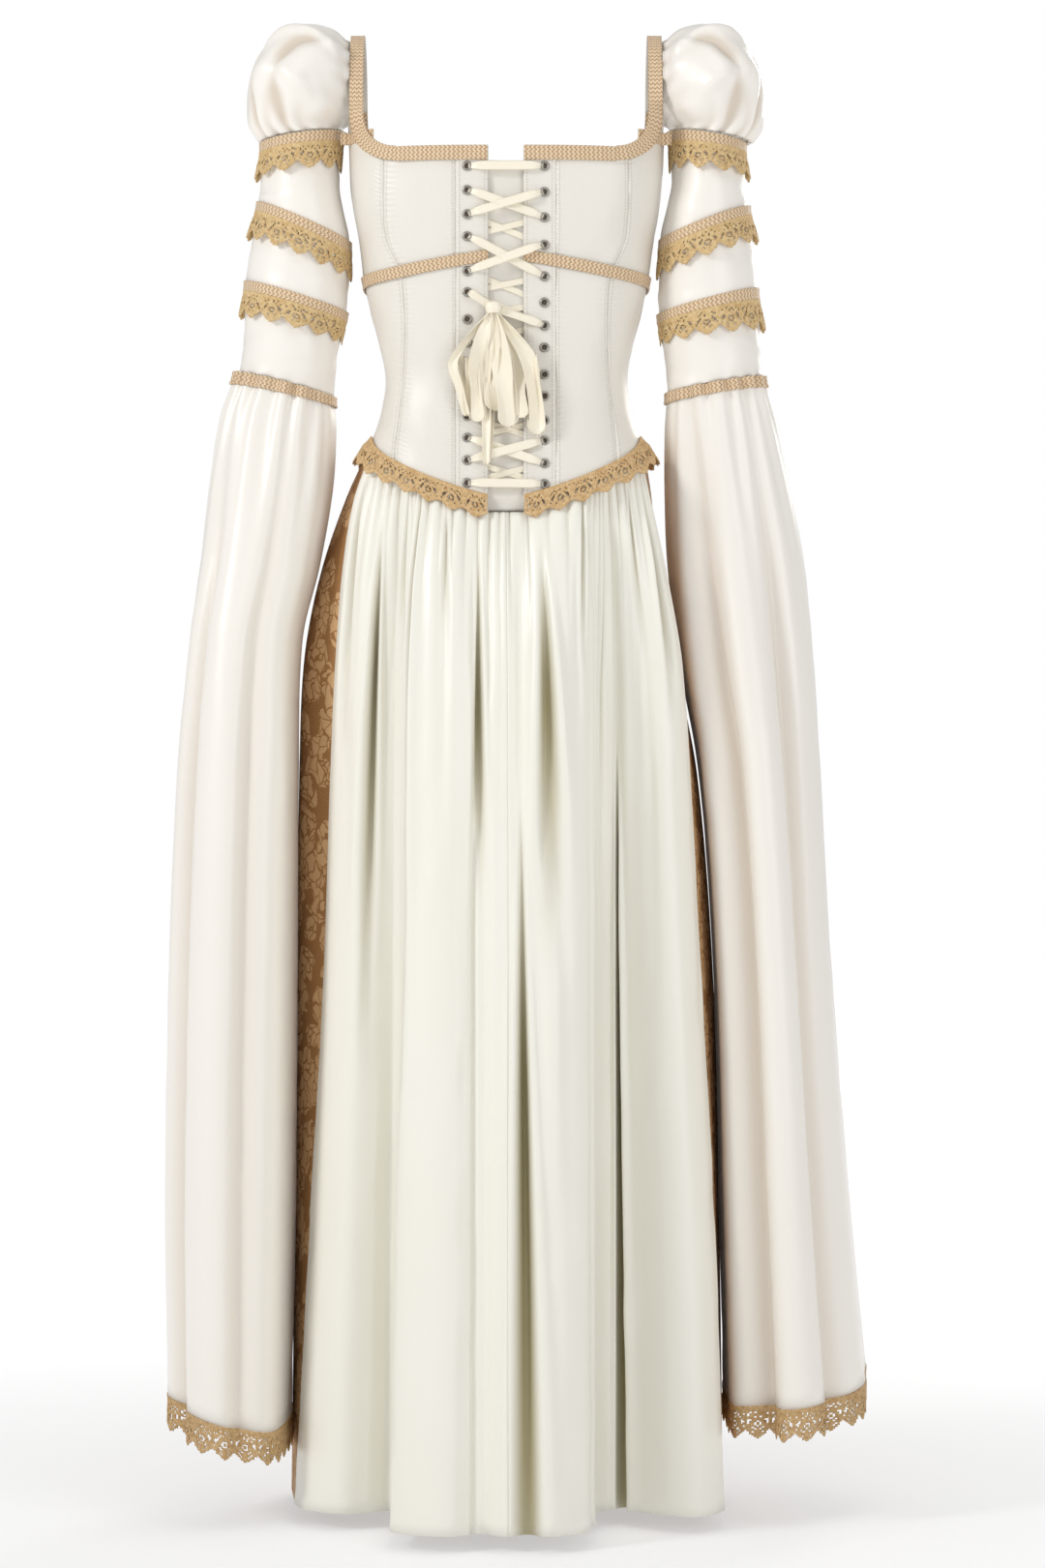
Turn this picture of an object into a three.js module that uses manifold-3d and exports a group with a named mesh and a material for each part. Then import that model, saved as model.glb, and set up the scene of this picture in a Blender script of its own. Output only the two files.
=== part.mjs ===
// Corset dress, worn form with no wearer. Millimetres, +Z up, the laced back faces -Y.
// The origin is midway between the tops of the shoulder straps.
import * as THREE from 'three';
import { mergeVertices } from 'three/addons/utils/BufferGeometryUtils.js';
import Module from 'manifold-3d';

const wasm = await Module();
wasm.setup();

// Cloth and trim thicknesses
const BODICE_THICK = 2.4;
const SATIN_THICK = 1.6;
const BRAID_THICK = 1.8;
const LACE_THICK = 1.4;
const SEAM_GAP = 0.3;
const PUFF_SEAM = 0.05;
const WAIST_GAP = 1;
const LAY_GAP = 0.6;
const TRIM_GAP = 0.4;

// Main heights, measured down from the shoulder
const NECK_TOP = -116;
const ARMHOLE_LOW = -100;
const STRAP_FOOT = -82;
const FRONT_NECK_DIP = 28;
const UNDERBUST_MIDDLE = -221;
const UNDERBUST_SIDE = -241;
const SKIRT_TOP = -469.5;
const HEM_LEVEL = -1430;
const BRAID_WIDE = 14;
const UNDERBUST_BRAID = 11;

// The neckline's back corners are round, up to the straps
const CORNER_X = 105;
const CORNER_RADIUS = STRAP_FOOT - NECK_TOP;
const CORNER_LIFT = 3;
const STRAP_MIDDLE = 145;
const STRAP_HALF = 6.6;
const STRAP_Y = -5;
const STRAP_REACH = 50;
const STRAP_START = 0.24;
const BRAID_START = 0.16;

// Heights at which a seam label's distance from the middle is read for a panel's edges
const BUST_LEVEL = -225;
const HIP_LEVEL = -430;
const SIDE_WAIST_LEVEL = -420;
const SEAM_INSET = 0.0022;

// The torso's plan is a rounded square of this power
const TORSO_POWER = 3;
const torsoRows = [
  { z: -470, half: 150, back: 104, front: 108 },
  { z: -450, half: 147, back: 102, front: 106 },
  { z: -415, half: 139, back: 97, front: 99 },
  { z: -400, half: 134, back: 93, front: 95 },
  { z: -385, half: 127, back: 89, front: 91 },
  { z: -360, half: 120, back: 83, front: 87 },
  { z: -332, half: 117.5, back: 80, front: 85 },
  { z: -300, half: 123, back: 82, front: 89 },
  { z: -270, half: 131, back: 84, front: 94 },
  { z: -235, half: 138.5, back: 87, front: 104 },
  { z: -198, half: 143.5, back: 92, front: 121 },
  { z: -165, half: 149, back: 95, front: 126 },
  { z: -135, half: 152, back: 96, front: 118 },
  { z: -100, half: 153.5, back: 96, front: 108 },
  { z: -90, half: 155.5, back: 96, front: 105 },
  { z: -80, half: 157, back: 96, front: 103 },
];

// Distance of each back and front seam from the middle, by height
const seamRows = [
  { z: -460, placket: 48, princess: 109, frontPrincess: 92 },
  { z: -400, placket: 48, princess: 106, frontPrincess: 84 },
  { z: -332, placket: 48, princess: 99, frontPrincess: 74 },
  { z: -240, placket: 48, princess: 100, frontPrincess: 88 },
  { z: -200, placket: 48, princess: 116, frontPrincess: 97 },
  { z: -100, placket: 48, princess: 117, frontPrincess: 103 },
];
const OPENING_HALF = 17;

// Lower edge of the bodice by distance from the middle
const basqueRows = [
  { x: 0, z: -462 },
  { x: 22, z: -460 },
  { x: 65, z: -446 },
  { x: 96, z: -432 },
  { x: 126, z: -414 },
  { x: 140, z: -400 },
];

// Height of each eyelet down the two plackets
const eyeletRows = {
  left: [-136, -159, -182, -203, -236, -256, -282, -304, -329, -352, -376, -397, -419, -441],
  right: [-136, -161, -185, -211, -241, -266, -288, -309, -335, -356, -380, -400, -422, -442],
};
const EYELET_X = 37;
const EYELET_OUTER = 4.8;
const EYELET_HOLE = 2.6;
const EYELET_SIDES = 6;
const EYELET_HIGH = 1.1;
const DRILL_LONG = 12;

// Puff sleeve heads: rings that swing about the underarm from the armhole to the first braid
const PUFF_PIVOT = { x: 155, z: -89.5 };
const ARMHOLE_X = 152.2;
const PUFF_END = 98.2;
const PUFF_NEAR = 5;
const PUFF_GATHER = 2.2;
const puffRows = [
  { swing: 0, reach: 84.5, depth: 48, middle: -5 },
  { swing: 9, reach: 100, depth: 58, middle: -6 },
  { swing: 28, reach: 115, depth: 67, middle: -7 },
  { swing: 40, reach: 116, depth: 70, middle: -8 },
  { swing: 52, reach: 113, depth: 70, middle: -8 },
  { swing: 64, reach: 107, depth: 66, middle: -8 },
  { swing: 76, reach: 101, depth: 59, middle: -8 },
  { swing: 88, reach: 95, depth: 50, middle: -8 },
  { swing: PUFF_END, reach: 84, depth: 45, middle: -8 },
];

// Sleeve rings: inner and outer end of each ring, its half depth and its middle in Y
const sleeveRows = {
  left: [
    { down: 96, innerX: 160, innerZ: -91, outerX: 239, outerZ: -102, depth: 45, middle: -8, slope: 0 },
    { down: 144, innerX: 164, innerZ: -142, outerX: 240, outerZ: -146, depth: 49, middle: -8, slope: 0 },
    { down: 179, innerX: 154, innerZ: -198, outerX: 242, outerZ: -160, depth: 50, middle: -8, slope: 0 },
    { down: 252, innerX: 157, innerZ: -267, outerX: 254, outerZ: -237, depth: 48, middle: -8, slope: 0 },
    { down: 300, innerX: 166, innerZ: -308, outerX: 256, outerZ: -285, depth: 46, middle: -8, slope: 0 },
    { down: 339, innerX: 169, innerZ: -351, outerX: 261, outerZ: -327, depth: 44, middle: -8, slope: 0 },
    { down: 376, innerX: 167, innerZ: -383, outerX: 276, outerZ: -369, depth: 50, middle: -8, slope: 0 },
    { down: 435, innerX: 170, innerZ: -440, outerX: 286, outerZ: -430, depth: 58, middle: -9, slope: 0 },
    { down: 511, innerX: 183, innerZ: -516, outerX: 294, outerZ: -506, depth: 66, middle: -10, slope: 1 },
    { down: 583, innerX: 200, innerZ: -588, outerX: 303, outerZ: -578, depth: 76, middle: -10, slope: 2 },
    { down: 716, innerX: 204, innerZ: -720, outerX: 314, outerZ: -711, depth: 90, middle: -10, slope: 4 },
    { down: 900, innerX: 205, innerZ: -910, outerX: 322, outerZ: -891, depth: 104, middle: -10, slope: 7 },
    { down: 1138, innerX: 207, innerZ: -1148, outerX: 326, outerZ: -1129, depth: 114, middle: -10, slope: 10 },
    { down: 1331, innerX: 211, innerZ: -1345, outerX: 323, outerZ: -1317, depth: 112, middle: -10, slope: 13 },
  ],
  right: [
    { down: 96, innerX: 160, innerZ: -91, outerX: 233, outerZ: -102, depth: 45, middle: -8, slope: 0 },
    { down: 144, innerX: 162, innerZ: -142, outerX: 233, outerZ: -146, depth: 49, middle: -8, slope: 0 },
    { down: 180, innerX: 152, innerZ: -196, outerX: 237, outerZ: -164, depth: 50, middle: -8, slope: 0 },
    { down: 256, innerX: 150, innerZ: -269, outerX: 245, outerZ: -244, depth: 48, middle: -8, slope: 0 },
    { down: 300, innerX: 155, innerZ: -306, outerX: 248, outerZ: -294, depth: 46, middle: -8, slope: 0 },
    { down: 339, innerX: 158, innerZ: -347, outerX: 249, outerZ: -331, depth: 44, middle: -8, slope: 0 },
    { down: 378, innerX: 156, innerZ: -384, outerX: 260, outerZ: -372, depth: 50, middle: -2, slope: 0 },
    { down: 441, innerX: 156, innerZ: -447, outerX: 274, outerZ: -435, depth: 56, middle: 4, slope: 0 },
    { down: 511, innerX: 159, innerZ: -516, outerX: 288, outerZ: -506, depth: 64, middle: 10, slope: 1 },
    { down: 599, innerX: 170, innerZ: -606, outerX: 296, outerZ: -592, depth: 76, middle: 12, slope: 2 },
    { down: 716, innerX: 190, innerZ: -721, outerX: 302, outerZ: -711, depth: 90, middle: 12, slope: 4 },
    { down: 903, innerX: 204, innerZ: -910, outerX: 312, outerZ: -896, depth: 104, middle: 12, slope: 7 },
    { down: 1139, innerX: 210, innerZ: -1149, outerX: 330, outerZ: -1129, depth: 114, middle: 12, slope: 10 },
    { down: 1315, innerX: 214, innerZ: -1322, outerX: 347, outerZ: -1308, depth: 112, middle: 12, slope: 13 },
  ],
};
const bandStations = { left: [96, 179, 252, 339], right: [96, 180, 256, 339] };
const SLEEVE_BRAID_TOP = 0.9;
const SLEEVE_BRAID = 11;
const SLEEVE_LACE_DROP = 38;
const HEM_LACE_DROP = 32;
const SCALLOP_DEPTH = 9;
const LACE_STAND_INNER = 0.6;
const LACE_STAND_OUTER = 4.2;
const BELL_GATHER = 2.4;
const BELL_FADE = 0.09;

// Folds of each bell: turn round the ring from its outer end, width in turns, height at the hem
const bellFolds = {
  left: [
    { turn: 0.03, width: 0.05, high: 6 },
    { turn: 0.16, width: 0.05, high: 8 },
    { turn: 0.33, width: 0.05, high: 8 },
    { turn: 0.66, width: 0.05, high: 7 },
    { turn: 0.72, width: 0.035, high: -10 },
    { turn: 0.80, width: 0.05, high: 8 },
    { turn: 0.87, width: 0.035, high: -8 },
    { turn: 0.94, width: 0.04, high: 6 },
  ],
  right: [
    { turn: 0.05, width: 0.05, high: 7 },
    { turn: 0.17, width: 0.05, high: 8 },
    { turn: 0.34, width: 0.05, high: 8 },
    { turn: 0.63, width: 0.04, high: 10 },
    { turn: 0.69, width: 0.035, high: -16 },
    { turn: 0.76, width: 0.045, high: 12 },
    { turn: 0.84, width: 0.04, high: -9 },
    { turn: 0.92, width: 0.05, high: 8 },
  ],
};

// How far each side of the skirt has spread from waist to hem: slow at the satin's edge,
// quick at the side, and in depth
const spreadRows = [
  { down: 0, slowLeft: 0, slowRight: 0, quickLeft: 0, quickRight: 0, depth: 0 },
  { down: 0.045, slowLeft: 0.22, slowRight: 0.12, quickLeft: 0.28, quickRight: 0.09, depth: 0.15 },
  { down: 0.113, slowLeft: 0.37, slowRight: 0.31, quickLeft: 0.57, quickRight: 0.14, depth: 0.27 },
  { down: 0.2, slowLeft: 0.46, slowRight: 0.5, quickLeft: 0.8, quickRight: 0.36, depth: 0.37 },
  { down: 0.31, slowLeft: 0.53, slowRight: 0.6, quickLeft: 0.87, quickRight: 0.66, depth: 0.46 },
  { down: 0.5, slowLeft: 0.62, slowRight: 0.73, quickLeft: 0.91, quickRight: 0.87, depth: 0.62 },
  { down: 0.73, slowLeft: 0.8, slowRight: 0.89, quickLeft: 0.95, quickRight: 0.95, depth: 0.8 },
  { down: 1, slowLeft: 1, slowRight: 1, quickLeft: 1, quickRight: 1, depth: 1 },
];

// Back skirt: place of each fold line on the waist (distance from the middle) and on the hem
const backSkirtFolds = [
  { waist: -131, hemX: -205, hemY: -44 },
  { waist: -127, hemX: -193, hemY: -80 },
  { waist: -116, hemX: -162, hemY: -106 },
  { waist: -104, hemX: -134, hemY: -100 },
  { waist: -93, hemX: -112, hemY: -86 },
  { waist: -87, hemX: -104, hemY: -148 },
  { waist: -80, hemX: -107, hemY: -208 },
  { waist: -68, hemX: -84, hemY: -232 },
  { waist: -50, hemX: -54, hemY: -240 },
  { waist: -34, hemX: -34, hemY: -229 },
  { waist: -18, hemX: -17, hemY: -222 },
  { waist: 0, hemX: 4, hemY: -236 },
  { waist: 22, hemX: 32, hemY: -239 },
  { waist: 50, hemX: 60, hemY: -230 },
  { waist: 74, hemX: 78, hemY: -206 },
  { waist: 82, hemX: 80, hemY: -148 },
  { waist: 90, hemX: 90, hemY: -94 },
  { waist: 97, hemX: 107, hemY: -76 },
  { waist: 106, hemX: 130, hemY: -94 },
  { waist: 115, hemX: 158, hemY: -120 },
  { waist: 122, hemX: 184, hemY: -124 },
  { waist: 127, hemX: 202, hemY: -104 },
  { waist: 130, hemX: 210, hemY: -84 },
];

// Lace skirt from its left tuck round the front to its right tuck: place on the waist as a turn
// from the back (0) to the front (1), place on the hem, and how early the cloth spreads
const laceSkirtFolds = [
  { side: -1, turn: 0.5, hemX: -205, hemY: 6, early: 1 },
  { side: -1, turn: 0.54, hemX: -207, hemY: 46, early: 1 },
  { side: -1, turn: 0.59, hemX: -212, hemY: 84, early: 0.9 },
  { side: -1, turn: 0.65, hemX: -200, hemY: 120, early: 0.7 },
  { side: -1, turn: 0.72, hemX: -178, hemY: 150, early: 0.5 },
  { side: -1, turn: 0.8, hemX: -140, hemY: 196, early: 0.3 },
  { side: -1, turn: 0.88, hemX: -88, hemY: 204, early: 0.2 },
  { side: -1, turn: 0.95, hemX: -44, hemY: 234, early: 0 },
  { side: 1, turn: 1.0, hemX: 0, hemY: 222, early: 0 },
  { side: 1, turn: 0.95, hemX: 46, hemY: 236, early: 0 },
  { side: 1, turn: 0.88, hemX: 92, hemY: 206, early: 0.2 },
  { side: 1, turn: 0.8, hemX: 142, hemY: 194, early: 0.3 },
  { side: 1, turn: 0.72, hemX: 180, hemY: 152, early: 0.5 },
  { side: 1, turn: 0.65, hemX: 202, hemY: 118, early: 0.7 },
  { side: 1, turn: 0.59, hemX: 212, hemY: 84, early: 0.9 },
  { side: 1, turn: 0.54, hemX: 207, hemY: 44, early: 1 },
  { side: 1, turn: 0.5, hemX: 206, hemY: 0, early: 1 },
];
const TUCK_SHARES = [0.9, 0.95, 1];
const TUCK_UNDER = 4.6;

// Colours
const IVORY = 0xf1ede3;
const GOLD = 0xd4ab72;
const LACE_GOLD = 0xc7a263;
const BROWN = 0x8a5c30;
const RIBBON = 0xf5ead0;

const dress = new THREE.Group();

function material(colour, roughness) {
  return new THREE.MeshStandardMaterial({ color: colour, roughness, metalness: 0 });
}
const satin = material(IVORY, 0.38);
const braidCord = material(GOLD, 0.6);
const guipure = material(LACE_GOLD, 0.75);
const floralLace = material(BROWN, 0.8);
const ribbonSatin = material(RIBBON, 0.45);

function addPiece(name, geometry, finish) {
  geometry.computeVertexNormals();
  const mesh = new THREE.Mesh(geometry, finish);
  mesh.name = name;
  dress.add(mesh);
}

// Value of one column of a table at a place, along a smooth curve through its rows
function readTable(rows, key, place, column) {
  const rising = rows[rows.length - 1][key] > rows[0][key];
  const ordered = rising ? rows : [...rows].reverse();
  const at = THREE.MathUtils.clamp(place, ordered[0][key], ordered[ordered.length - 1][key]);
  let i = 0;
  while (i < ordered.length - 2 && ordered[i + 1][key] < at) i += 1;
  const span = ordered[i + 1][key] - ordered[i][key];
  const t = (at - ordered[i][key]) / span;
  const slopeAt = (k) => {
    const before = ordered[Math.max(k - 1, 0)];
    const after = ordered[Math.min(k + 1, ordered.length - 1)];
    return (after[column] - before[column]) / (after[key] - before[key]);
  };
  const a = ordered[i][column];
  const b = ordered[i + 1][column];
  const t2 = t * t;
  const t3 = t2 * t;
  const bend = (t3 - 2 * t2 + t) * slopeAt(i) + (t3 - t2) * slopeAt(i + 1);
  return a * (2 * t3 - 3 * t2 + 1) + b * (3 * t2 - 2 * t3) + bend * span;
}

const smooth = (x) => {
  const t = THREE.MathUtils.clamp(x, 0, 1);
  return t * t * (3 - 2 * t);
};
const evenly = (from, to, count) => Array.from({ length: count + 1 }, (_, i) => from + ((to - from) * i) / count);

// Closed wall between two offsets of a surface. The surface gives a point and the way out there.
function wall(surface, across, down, under, over, loop = false) {
  const columns = across.length;
  const rows = down.length;
  const positions = [];
  for (const offset of [over, under]) {
    for (const u of across) {
      for (const v of down) {
        const { point, out } = surface(u, v);
        positions.push(...point.clone().addScaledVector(out, offset).toArray());
      }
    }
  }
  const start = surface(across[0], down[0]);
  const along = surface(across[1], down[0]).point.clone().sub(start.point);
  const below = surface(across[0], down[1]).point.clone().sub(start.point);
  const flip = along.cross(below).dot(start.out) < 0;
  const faces = [];
  const inside = columns * rows;
  const quad = (a, b, c, d) => {
    if (flip) faces.push(a, c, b, a, d, c);
    else faces.push(a, b, c, a, c, d);
  };
  const last = loop ? columns : columns - 1;
  for (let i = 0; i < last; i += 1) {
    const here = i * rows;
    const next = ((i + 1) % columns) * rows;
    for (let j = 0; j < rows - 1; j += 1) {
      quad(here + j, next + j, next + j + 1, here + j + 1);
      quad(inside + here + j, inside + here + j + 1, inside + next + j + 1, inside + next + j);
    }
    const low = rows - 1;
    quad(here, inside + here, inside + next, next);
    quad(here + low, next + low, inside + next + low, inside + here + low);
  }
  if (!loop) {
    const end = (columns - 1) * rows;
    for (let j = 0; j < rows - 1; j += 1) {
      quad(j, j + 1, inside + j + 1, inside + j);
      quad(end + j, inside + end + j, inside + end + j + 1, end + j + 1);
    }
  }
  const geometry = new THREE.BufferGeometry();
  geometry.setAttribute('position', new THREE.Float32BufferAttribute(positions, 3));
  geometry.setIndex(faces);
  return geometry;
}

// Way out of a surface from small steps on it, turned to the side of a rough way out
function wayOut(pointAt, u, v, stepU, stepV, rough) {
  const along = pointAt(u + stepU, v).sub(pointAt(u - stepU, v));
  const below = pointAt(u, v + stepV).sub(pointAt(u, v - stepV));
  const out = along.cross(below).normalize();
  return out.dot(rough) < 0 ? out.negate() : out;
}

function toSolid(geometry) {
  geometry.deleteAttribute('normal');
  geometry.deleteAttribute('uv');
  const merged = mergeVertices(geometry, 1e-4);
  const vertProperties = new Float32Array(merged.attributes.position.array);
  const triVerts = new Uint32Array(merged.index.array);
  return new wasm.Manifold(new wasm.Mesh({ numProp: 3, vertProperties, triVerts }));
}

function fromSolid(solid) {
  const mesh = solid.getMesh();
  const geometry = new THREE.BufferGeometry();
  geometry.setAttribute('position', new THREE.BufferAttribute(new Float32Array(mesh.vertProperties), 3));
  geometry.setIndex(new THREE.BufferAttribute(new Uint32Array(mesh.triVerts), 1));
  return geometry;
}

// The torso. A label runs from 0 at the back opening over the placket seam (1), the back princess
// seam (2), the side (3) and the front princess seam (4) to the centre front (5).
const column = (z, name) => readTable(torsoRows, 'z', z, name);

function seamAngle(index, z) {
  const half = column(z, 'half');
  const angle = (x) => Math.asin(Math.min((x / half) ** (TORSO_POWER / 2), 1));
  if (index === 0) return angle(OPENING_HALF);
  if (index === 1) return angle(readTable(seamRows, 'z', z, 'placket'));
  if (index === 2) return angle(readTable(seamRows, 'z', z, 'princess'));
  if (index === 3) return Math.PI / 2;
  if (index === 4) return Math.PI - angle(readTable(seamRows, 'z', z, 'frontPrincess'));
  return Math.PI;
}

function torsoAt(side, angle, z) {
  const half = column(z, 'half');
  const deep = angle < Math.PI / 2 ? column(z, 'back') : column(z, 'front');
  const power = 2 / TORSO_POWER;
  const x = half * Math.sin(angle) ** power;
  const y = -Math.sign(Math.cos(angle)) * deep * Math.abs(Math.cos(angle)) ** power;
  const outX = (x / half) ** (TORSO_POWER - 1) / half;
  const outY = (Math.sign(y) * (Math.abs(y) / deep) ** (TORSO_POWER - 1)) / deep;
  const out = new THREE.Vector3(side * outX, outY, 0).normalize();
  return { point: new THREE.Vector3(side * x, y, z), out };
}

function torso(side, label, z) {
  const lower = Math.min(Math.floor(label), 4);
  const angle = THREE.MathUtils.lerp(seamAngle(lower, z), seamAngle(lower + 1, z), label - lower);
  return torsoAt(side, angle, z);
}

// A torso point given by its distance from the middle, on the back or on the front
function torsoByX(side, x, z, front) {
  const angle = Math.asin(Math.min((x / column(z, 'half')) ** (TORSO_POWER / 2), 1));
  return torsoAt(side, front ? Math.PI - angle : angle, z);
}

const underbust = (x) => THREE.MathUtils.mapLinear(x, OPENING_HALF, 140, UNDERBUST_MIDDLE, UNDERBUST_SIDE);
const basque = (x) => readTable(basqueRows, 'x', x, 'z');
const frontNeck = (x) => NECK_TOP - FRONT_NECK_DIP * smooth((CORNER_X - x) / 45);

// Upper edge of the bodice: level across the back, round corners to the straps, low under the arm
function topEdge(x, front) {
  if (x <= CORNER_X) return front ? frontNeck(x) : NECK_TOP;
  if (x < CORNER_X + CORNER_RADIUS) {
    return STRAP_FOOT - Math.sqrt(Math.max(CORNER_RADIUS ** 2 - (x - CORNER_X) ** 2, 0));
  }
  return THREE.MathUtils.lerp(STRAP_FOOT, ARMHOLE_LOW, smooth((x - 149) / 4));
}

const xAt = (label, z) => torso(1, label, z).point.x;

// One bodice panel between two seam labels and two edges
function panel(name, side, fromLabel, toLabel, columns, rows, upper) {
  const surface = (u, v) => {
    const label = THREE.MathUtils.lerp(fromLabel + SEAM_INSET, toLabel - SEAM_INSET, u);
    const front = label > 3;
    const x = xAt(label, BUST_LEVEL);
    const top = upper ? topEdge(xAt(label, ARMHOLE_LOW), front) : underbust(x) - SEAM_GAP / 2;
    const low = upper ? underbust(x) + SEAM_GAP / 2 : basque(xAt(label, HIP_LEVEL));
    return torso(side, label, THREE.MathUtils.lerp(top, low, v));
  };
  const geometry = wall(surface, evenly(0, 1, columns), evenly(0, 1, rows), -BODICE_THICK / 2, BODICE_THICK / 2);
  addPiece(name, geometry, satin);
}

// The centre front runs over both sides, so its labels go on past the middle
function centreFront(name, upper) {
  const surface = (u, v) => {
    const side = u < 0 ? -1 : 1;
    const label = 5 - Math.abs(u) * (1 - SEAM_INSET);
    const x = xAt(label, BUST_LEVEL);
    const top = upper ? frontNeck(xAt(label, ARMHOLE_LOW)) : underbust(x) - SEAM_GAP / 2;
    const low = upper ? underbust(x) + SEAM_GAP / 2 : basque(xAt(label, HIP_LEVEL));
    return torso(side, label, THREE.MathUtils.lerp(top, low, v));
  };
  const geometry = wall(surface, evenly(-1, 1, 10), evenly(0, 1, upper ? 3 : 5), -BODICE_THICK / 2, BODICE_THICK / 2);
  addPiece(name, geometry, satin);
}

// The boned placket with its eyelets: rings joined on, holes cut through
function placket(name, side, heights) {
  const surface = (u, v) => {
    const label = u * (1 - 0.004);
    return torso(side, label, THREE.MathUtils.lerp(NECK_TOP, basque(xAt(label, HIP_LEVEL)), v));
  };
  const half = BODICE_THICK / 2;
  let solid = toSolid(wall(surface, [0, 1], evenly(0, 1, 9), -half, half));
  for (const z of heights) {
    const { point, out } = torsoByX(side, EYELET_X, z, false);
    const turn = new THREE.Quaternion().setFromUnitVectors(new THREE.Vector3(0, 1, 0), out);
    const ring = new THREE.CylinderGeometry(EYELET_OUTER, EYELET_OUTER, half + EYELET_HIGH, EYELET_SIDES);
    ring.applyQuaternion(turn);
    ring.translate(...point.clone().addScaledVector(out, (half + EYELET_HIGH) / 2).toArray());
    solid = solid.add(toSolid(ring));
  }
  for (const z of heights) {
    const { point, out } = torsoByX(side, EYELET_X, z, false);
    const turn = new THREE.Quaternion().setFromUnitVectors(new THREE.Vector3(0, 1, 0), out);
    const hole = new THREE.CylinderGeometry(EYELET_HOLE, EYELET_HOLE, DRILL_LONG, EYELET_SIDES);
    hole.applyQuaternion(turn);
    hole.translate(...point.toArray());
    solid = solid.subtract(toSolid(hole));
  }
  addPiece(name, fromSolid(solid), satin);
}

function modestyPanel() {
  const half = 31;
  const outer = -(BODICE_THICK / 2 + LAY_GAP + 0.9);
  const surface = (u, v) => {
    const z = THREE.MathUtils.lerp(NECK_TOP - 8, SKIRT_TOP + 1.5, v);
    return torsoByX(u < 0 ? -1 : 1, Math.abs(u) * half, z, false);
  };
  const geometry = wall(surface, evenly(-1, 1, 2), evenly(0, 1, 8), outer - SATIN_THICK, outer);
  addPiece('modesty_panel', geometry, satin);
}

// A shoulder strap is an arch over the shoulder from the back corner to the front corner
const STRAP_LOW = STRAP_FOOT + 0.4;
function archPoint(side, x, turn) {
  const foot = torsoByX(side, STRAP_MIDDLE, STRAP_FOOT, turn > Math.PI / 2).point;
  const y = STRAP_Y - Math.abs(foot.y - STRAP_Y) * Math.cos(turn);
  const z = STRAP_LOW * (1 - Math.sin(turn));
  const out = new THREE.Vector3(0, Math.cos(turn) * STRAP_LOW, Math.sin(turn) * STRAP_REACH).normalize();
  return { point: new THREE.Vector3(side * x, y, z), out };
}

function strap(name, side) {
  const surface = (u, v) => archPoint(side, STRAP_MIDDLE + u * STRAP_HALF, v);
  const turns = evenly(STRAP_START, Math.PI - STRAP_START, 10);
  addPiece(name, wall(surface, [-1, 1], turns, -1, 1), satin);
}

// The neckline braid runs along the back, round the corner, over the strap and round the front corner
function neckBraid(name, side) {
  const radius = STRAP_MIDDLE - CORNER_X;
  const across = (x, z, width, outward) => [x + width * outward.x, z + width * outward.z];
  const stations = [];
  for (const x of [17.6, 32, 48, 62, 76, 90]) stations.push({ kind: 'edge', x, z: NECK_TOP - 7, bend: 0 });
  for (const bend of evenly(0, Math.PI / 2, 6)) stations.push({ kind: 'corner', bend });
  for (const turn of evenly(BRAID_START, Math.PI - BRAID_START, 10)) stations.push({ kind: 'strap', turn });
  for (const bend of evenly(Math.PI / 2, 0, 6)) stations.push({ kind: 'frontCorner', bend });
  const lift = BODICE_THICK / 2 + LAY_GAP + BRAID_THICK / 2;
  const surface = (index, v) => {
    const station = stations[index];
    const width = (v - 0.5) * BRAID_WIDE;
    if (station.kind === 'edge') {
      return torsoByX(side, station.x, station.z - width, false);
    }
    if (station.kind === 'strap') {
      return archPoint(side, STRAP_MIDDLE + width * 0.97, station.turn);
    }
    const outward = { x: Math.sin(station.bend), z: -Math.cos(station.bend) };
    const [x, z] = across(CORNER_X + radius * outward.x, STRAP_FOOT + radius * outward.z, width, outward);
    const host = torsoByX(side, Math.min(x, column(z, 'half') - 0.4), z, station.kind === 'frontCorner');
    host.point.addScaledVector(host.out, CORNER_LIFT * Math.sin(station.bend));
    return host;
  };
  const indices = stations.map((_, i) => i);
  addPiece(name, wall(surface, indices, [0, 1], lift - BRAID_THICK / 2, lift + BRAID_THICK / 2), braidCord);
}

function frontNeckBraid() {
  const lift = BODICE_THICK / 2 + LAY_GAP;
  const surface = (u, v) => {
    const x = Math.abs(u) * (CORNER_X - 0.8);
    return torsoByX(u < 0 ? -1 : 1, x, frontNeck(x) - v * BRAID_WIDE, true);
  };
  addPiece('neck_braid_front', wall(surface, evenly(-1, 1, 16), [0, 1], lift, lift + BRAID_THICK), braidCord);
}

function underbustBraid(name, side) {
  const lift = BODICE_THICK / 2 + LAY_GAP + 0.5;
  const labels = [0, 1, ...evenly(1.125, 3.875, 22), 4, 4.2, 4.4, 4.6, 4.8, 4.997];
  const surface = (label, v) => {
    const x = xAt(label, BUST_LEVEL);
    return torso(side, label, underbust(x) + (0.5 - v) * UNDERBUST_BRAID);
  };
  addPiece(name, wall(surface, labels, [0, 1], lift, lift + BRAID_THICK), braidCord);
}

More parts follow.
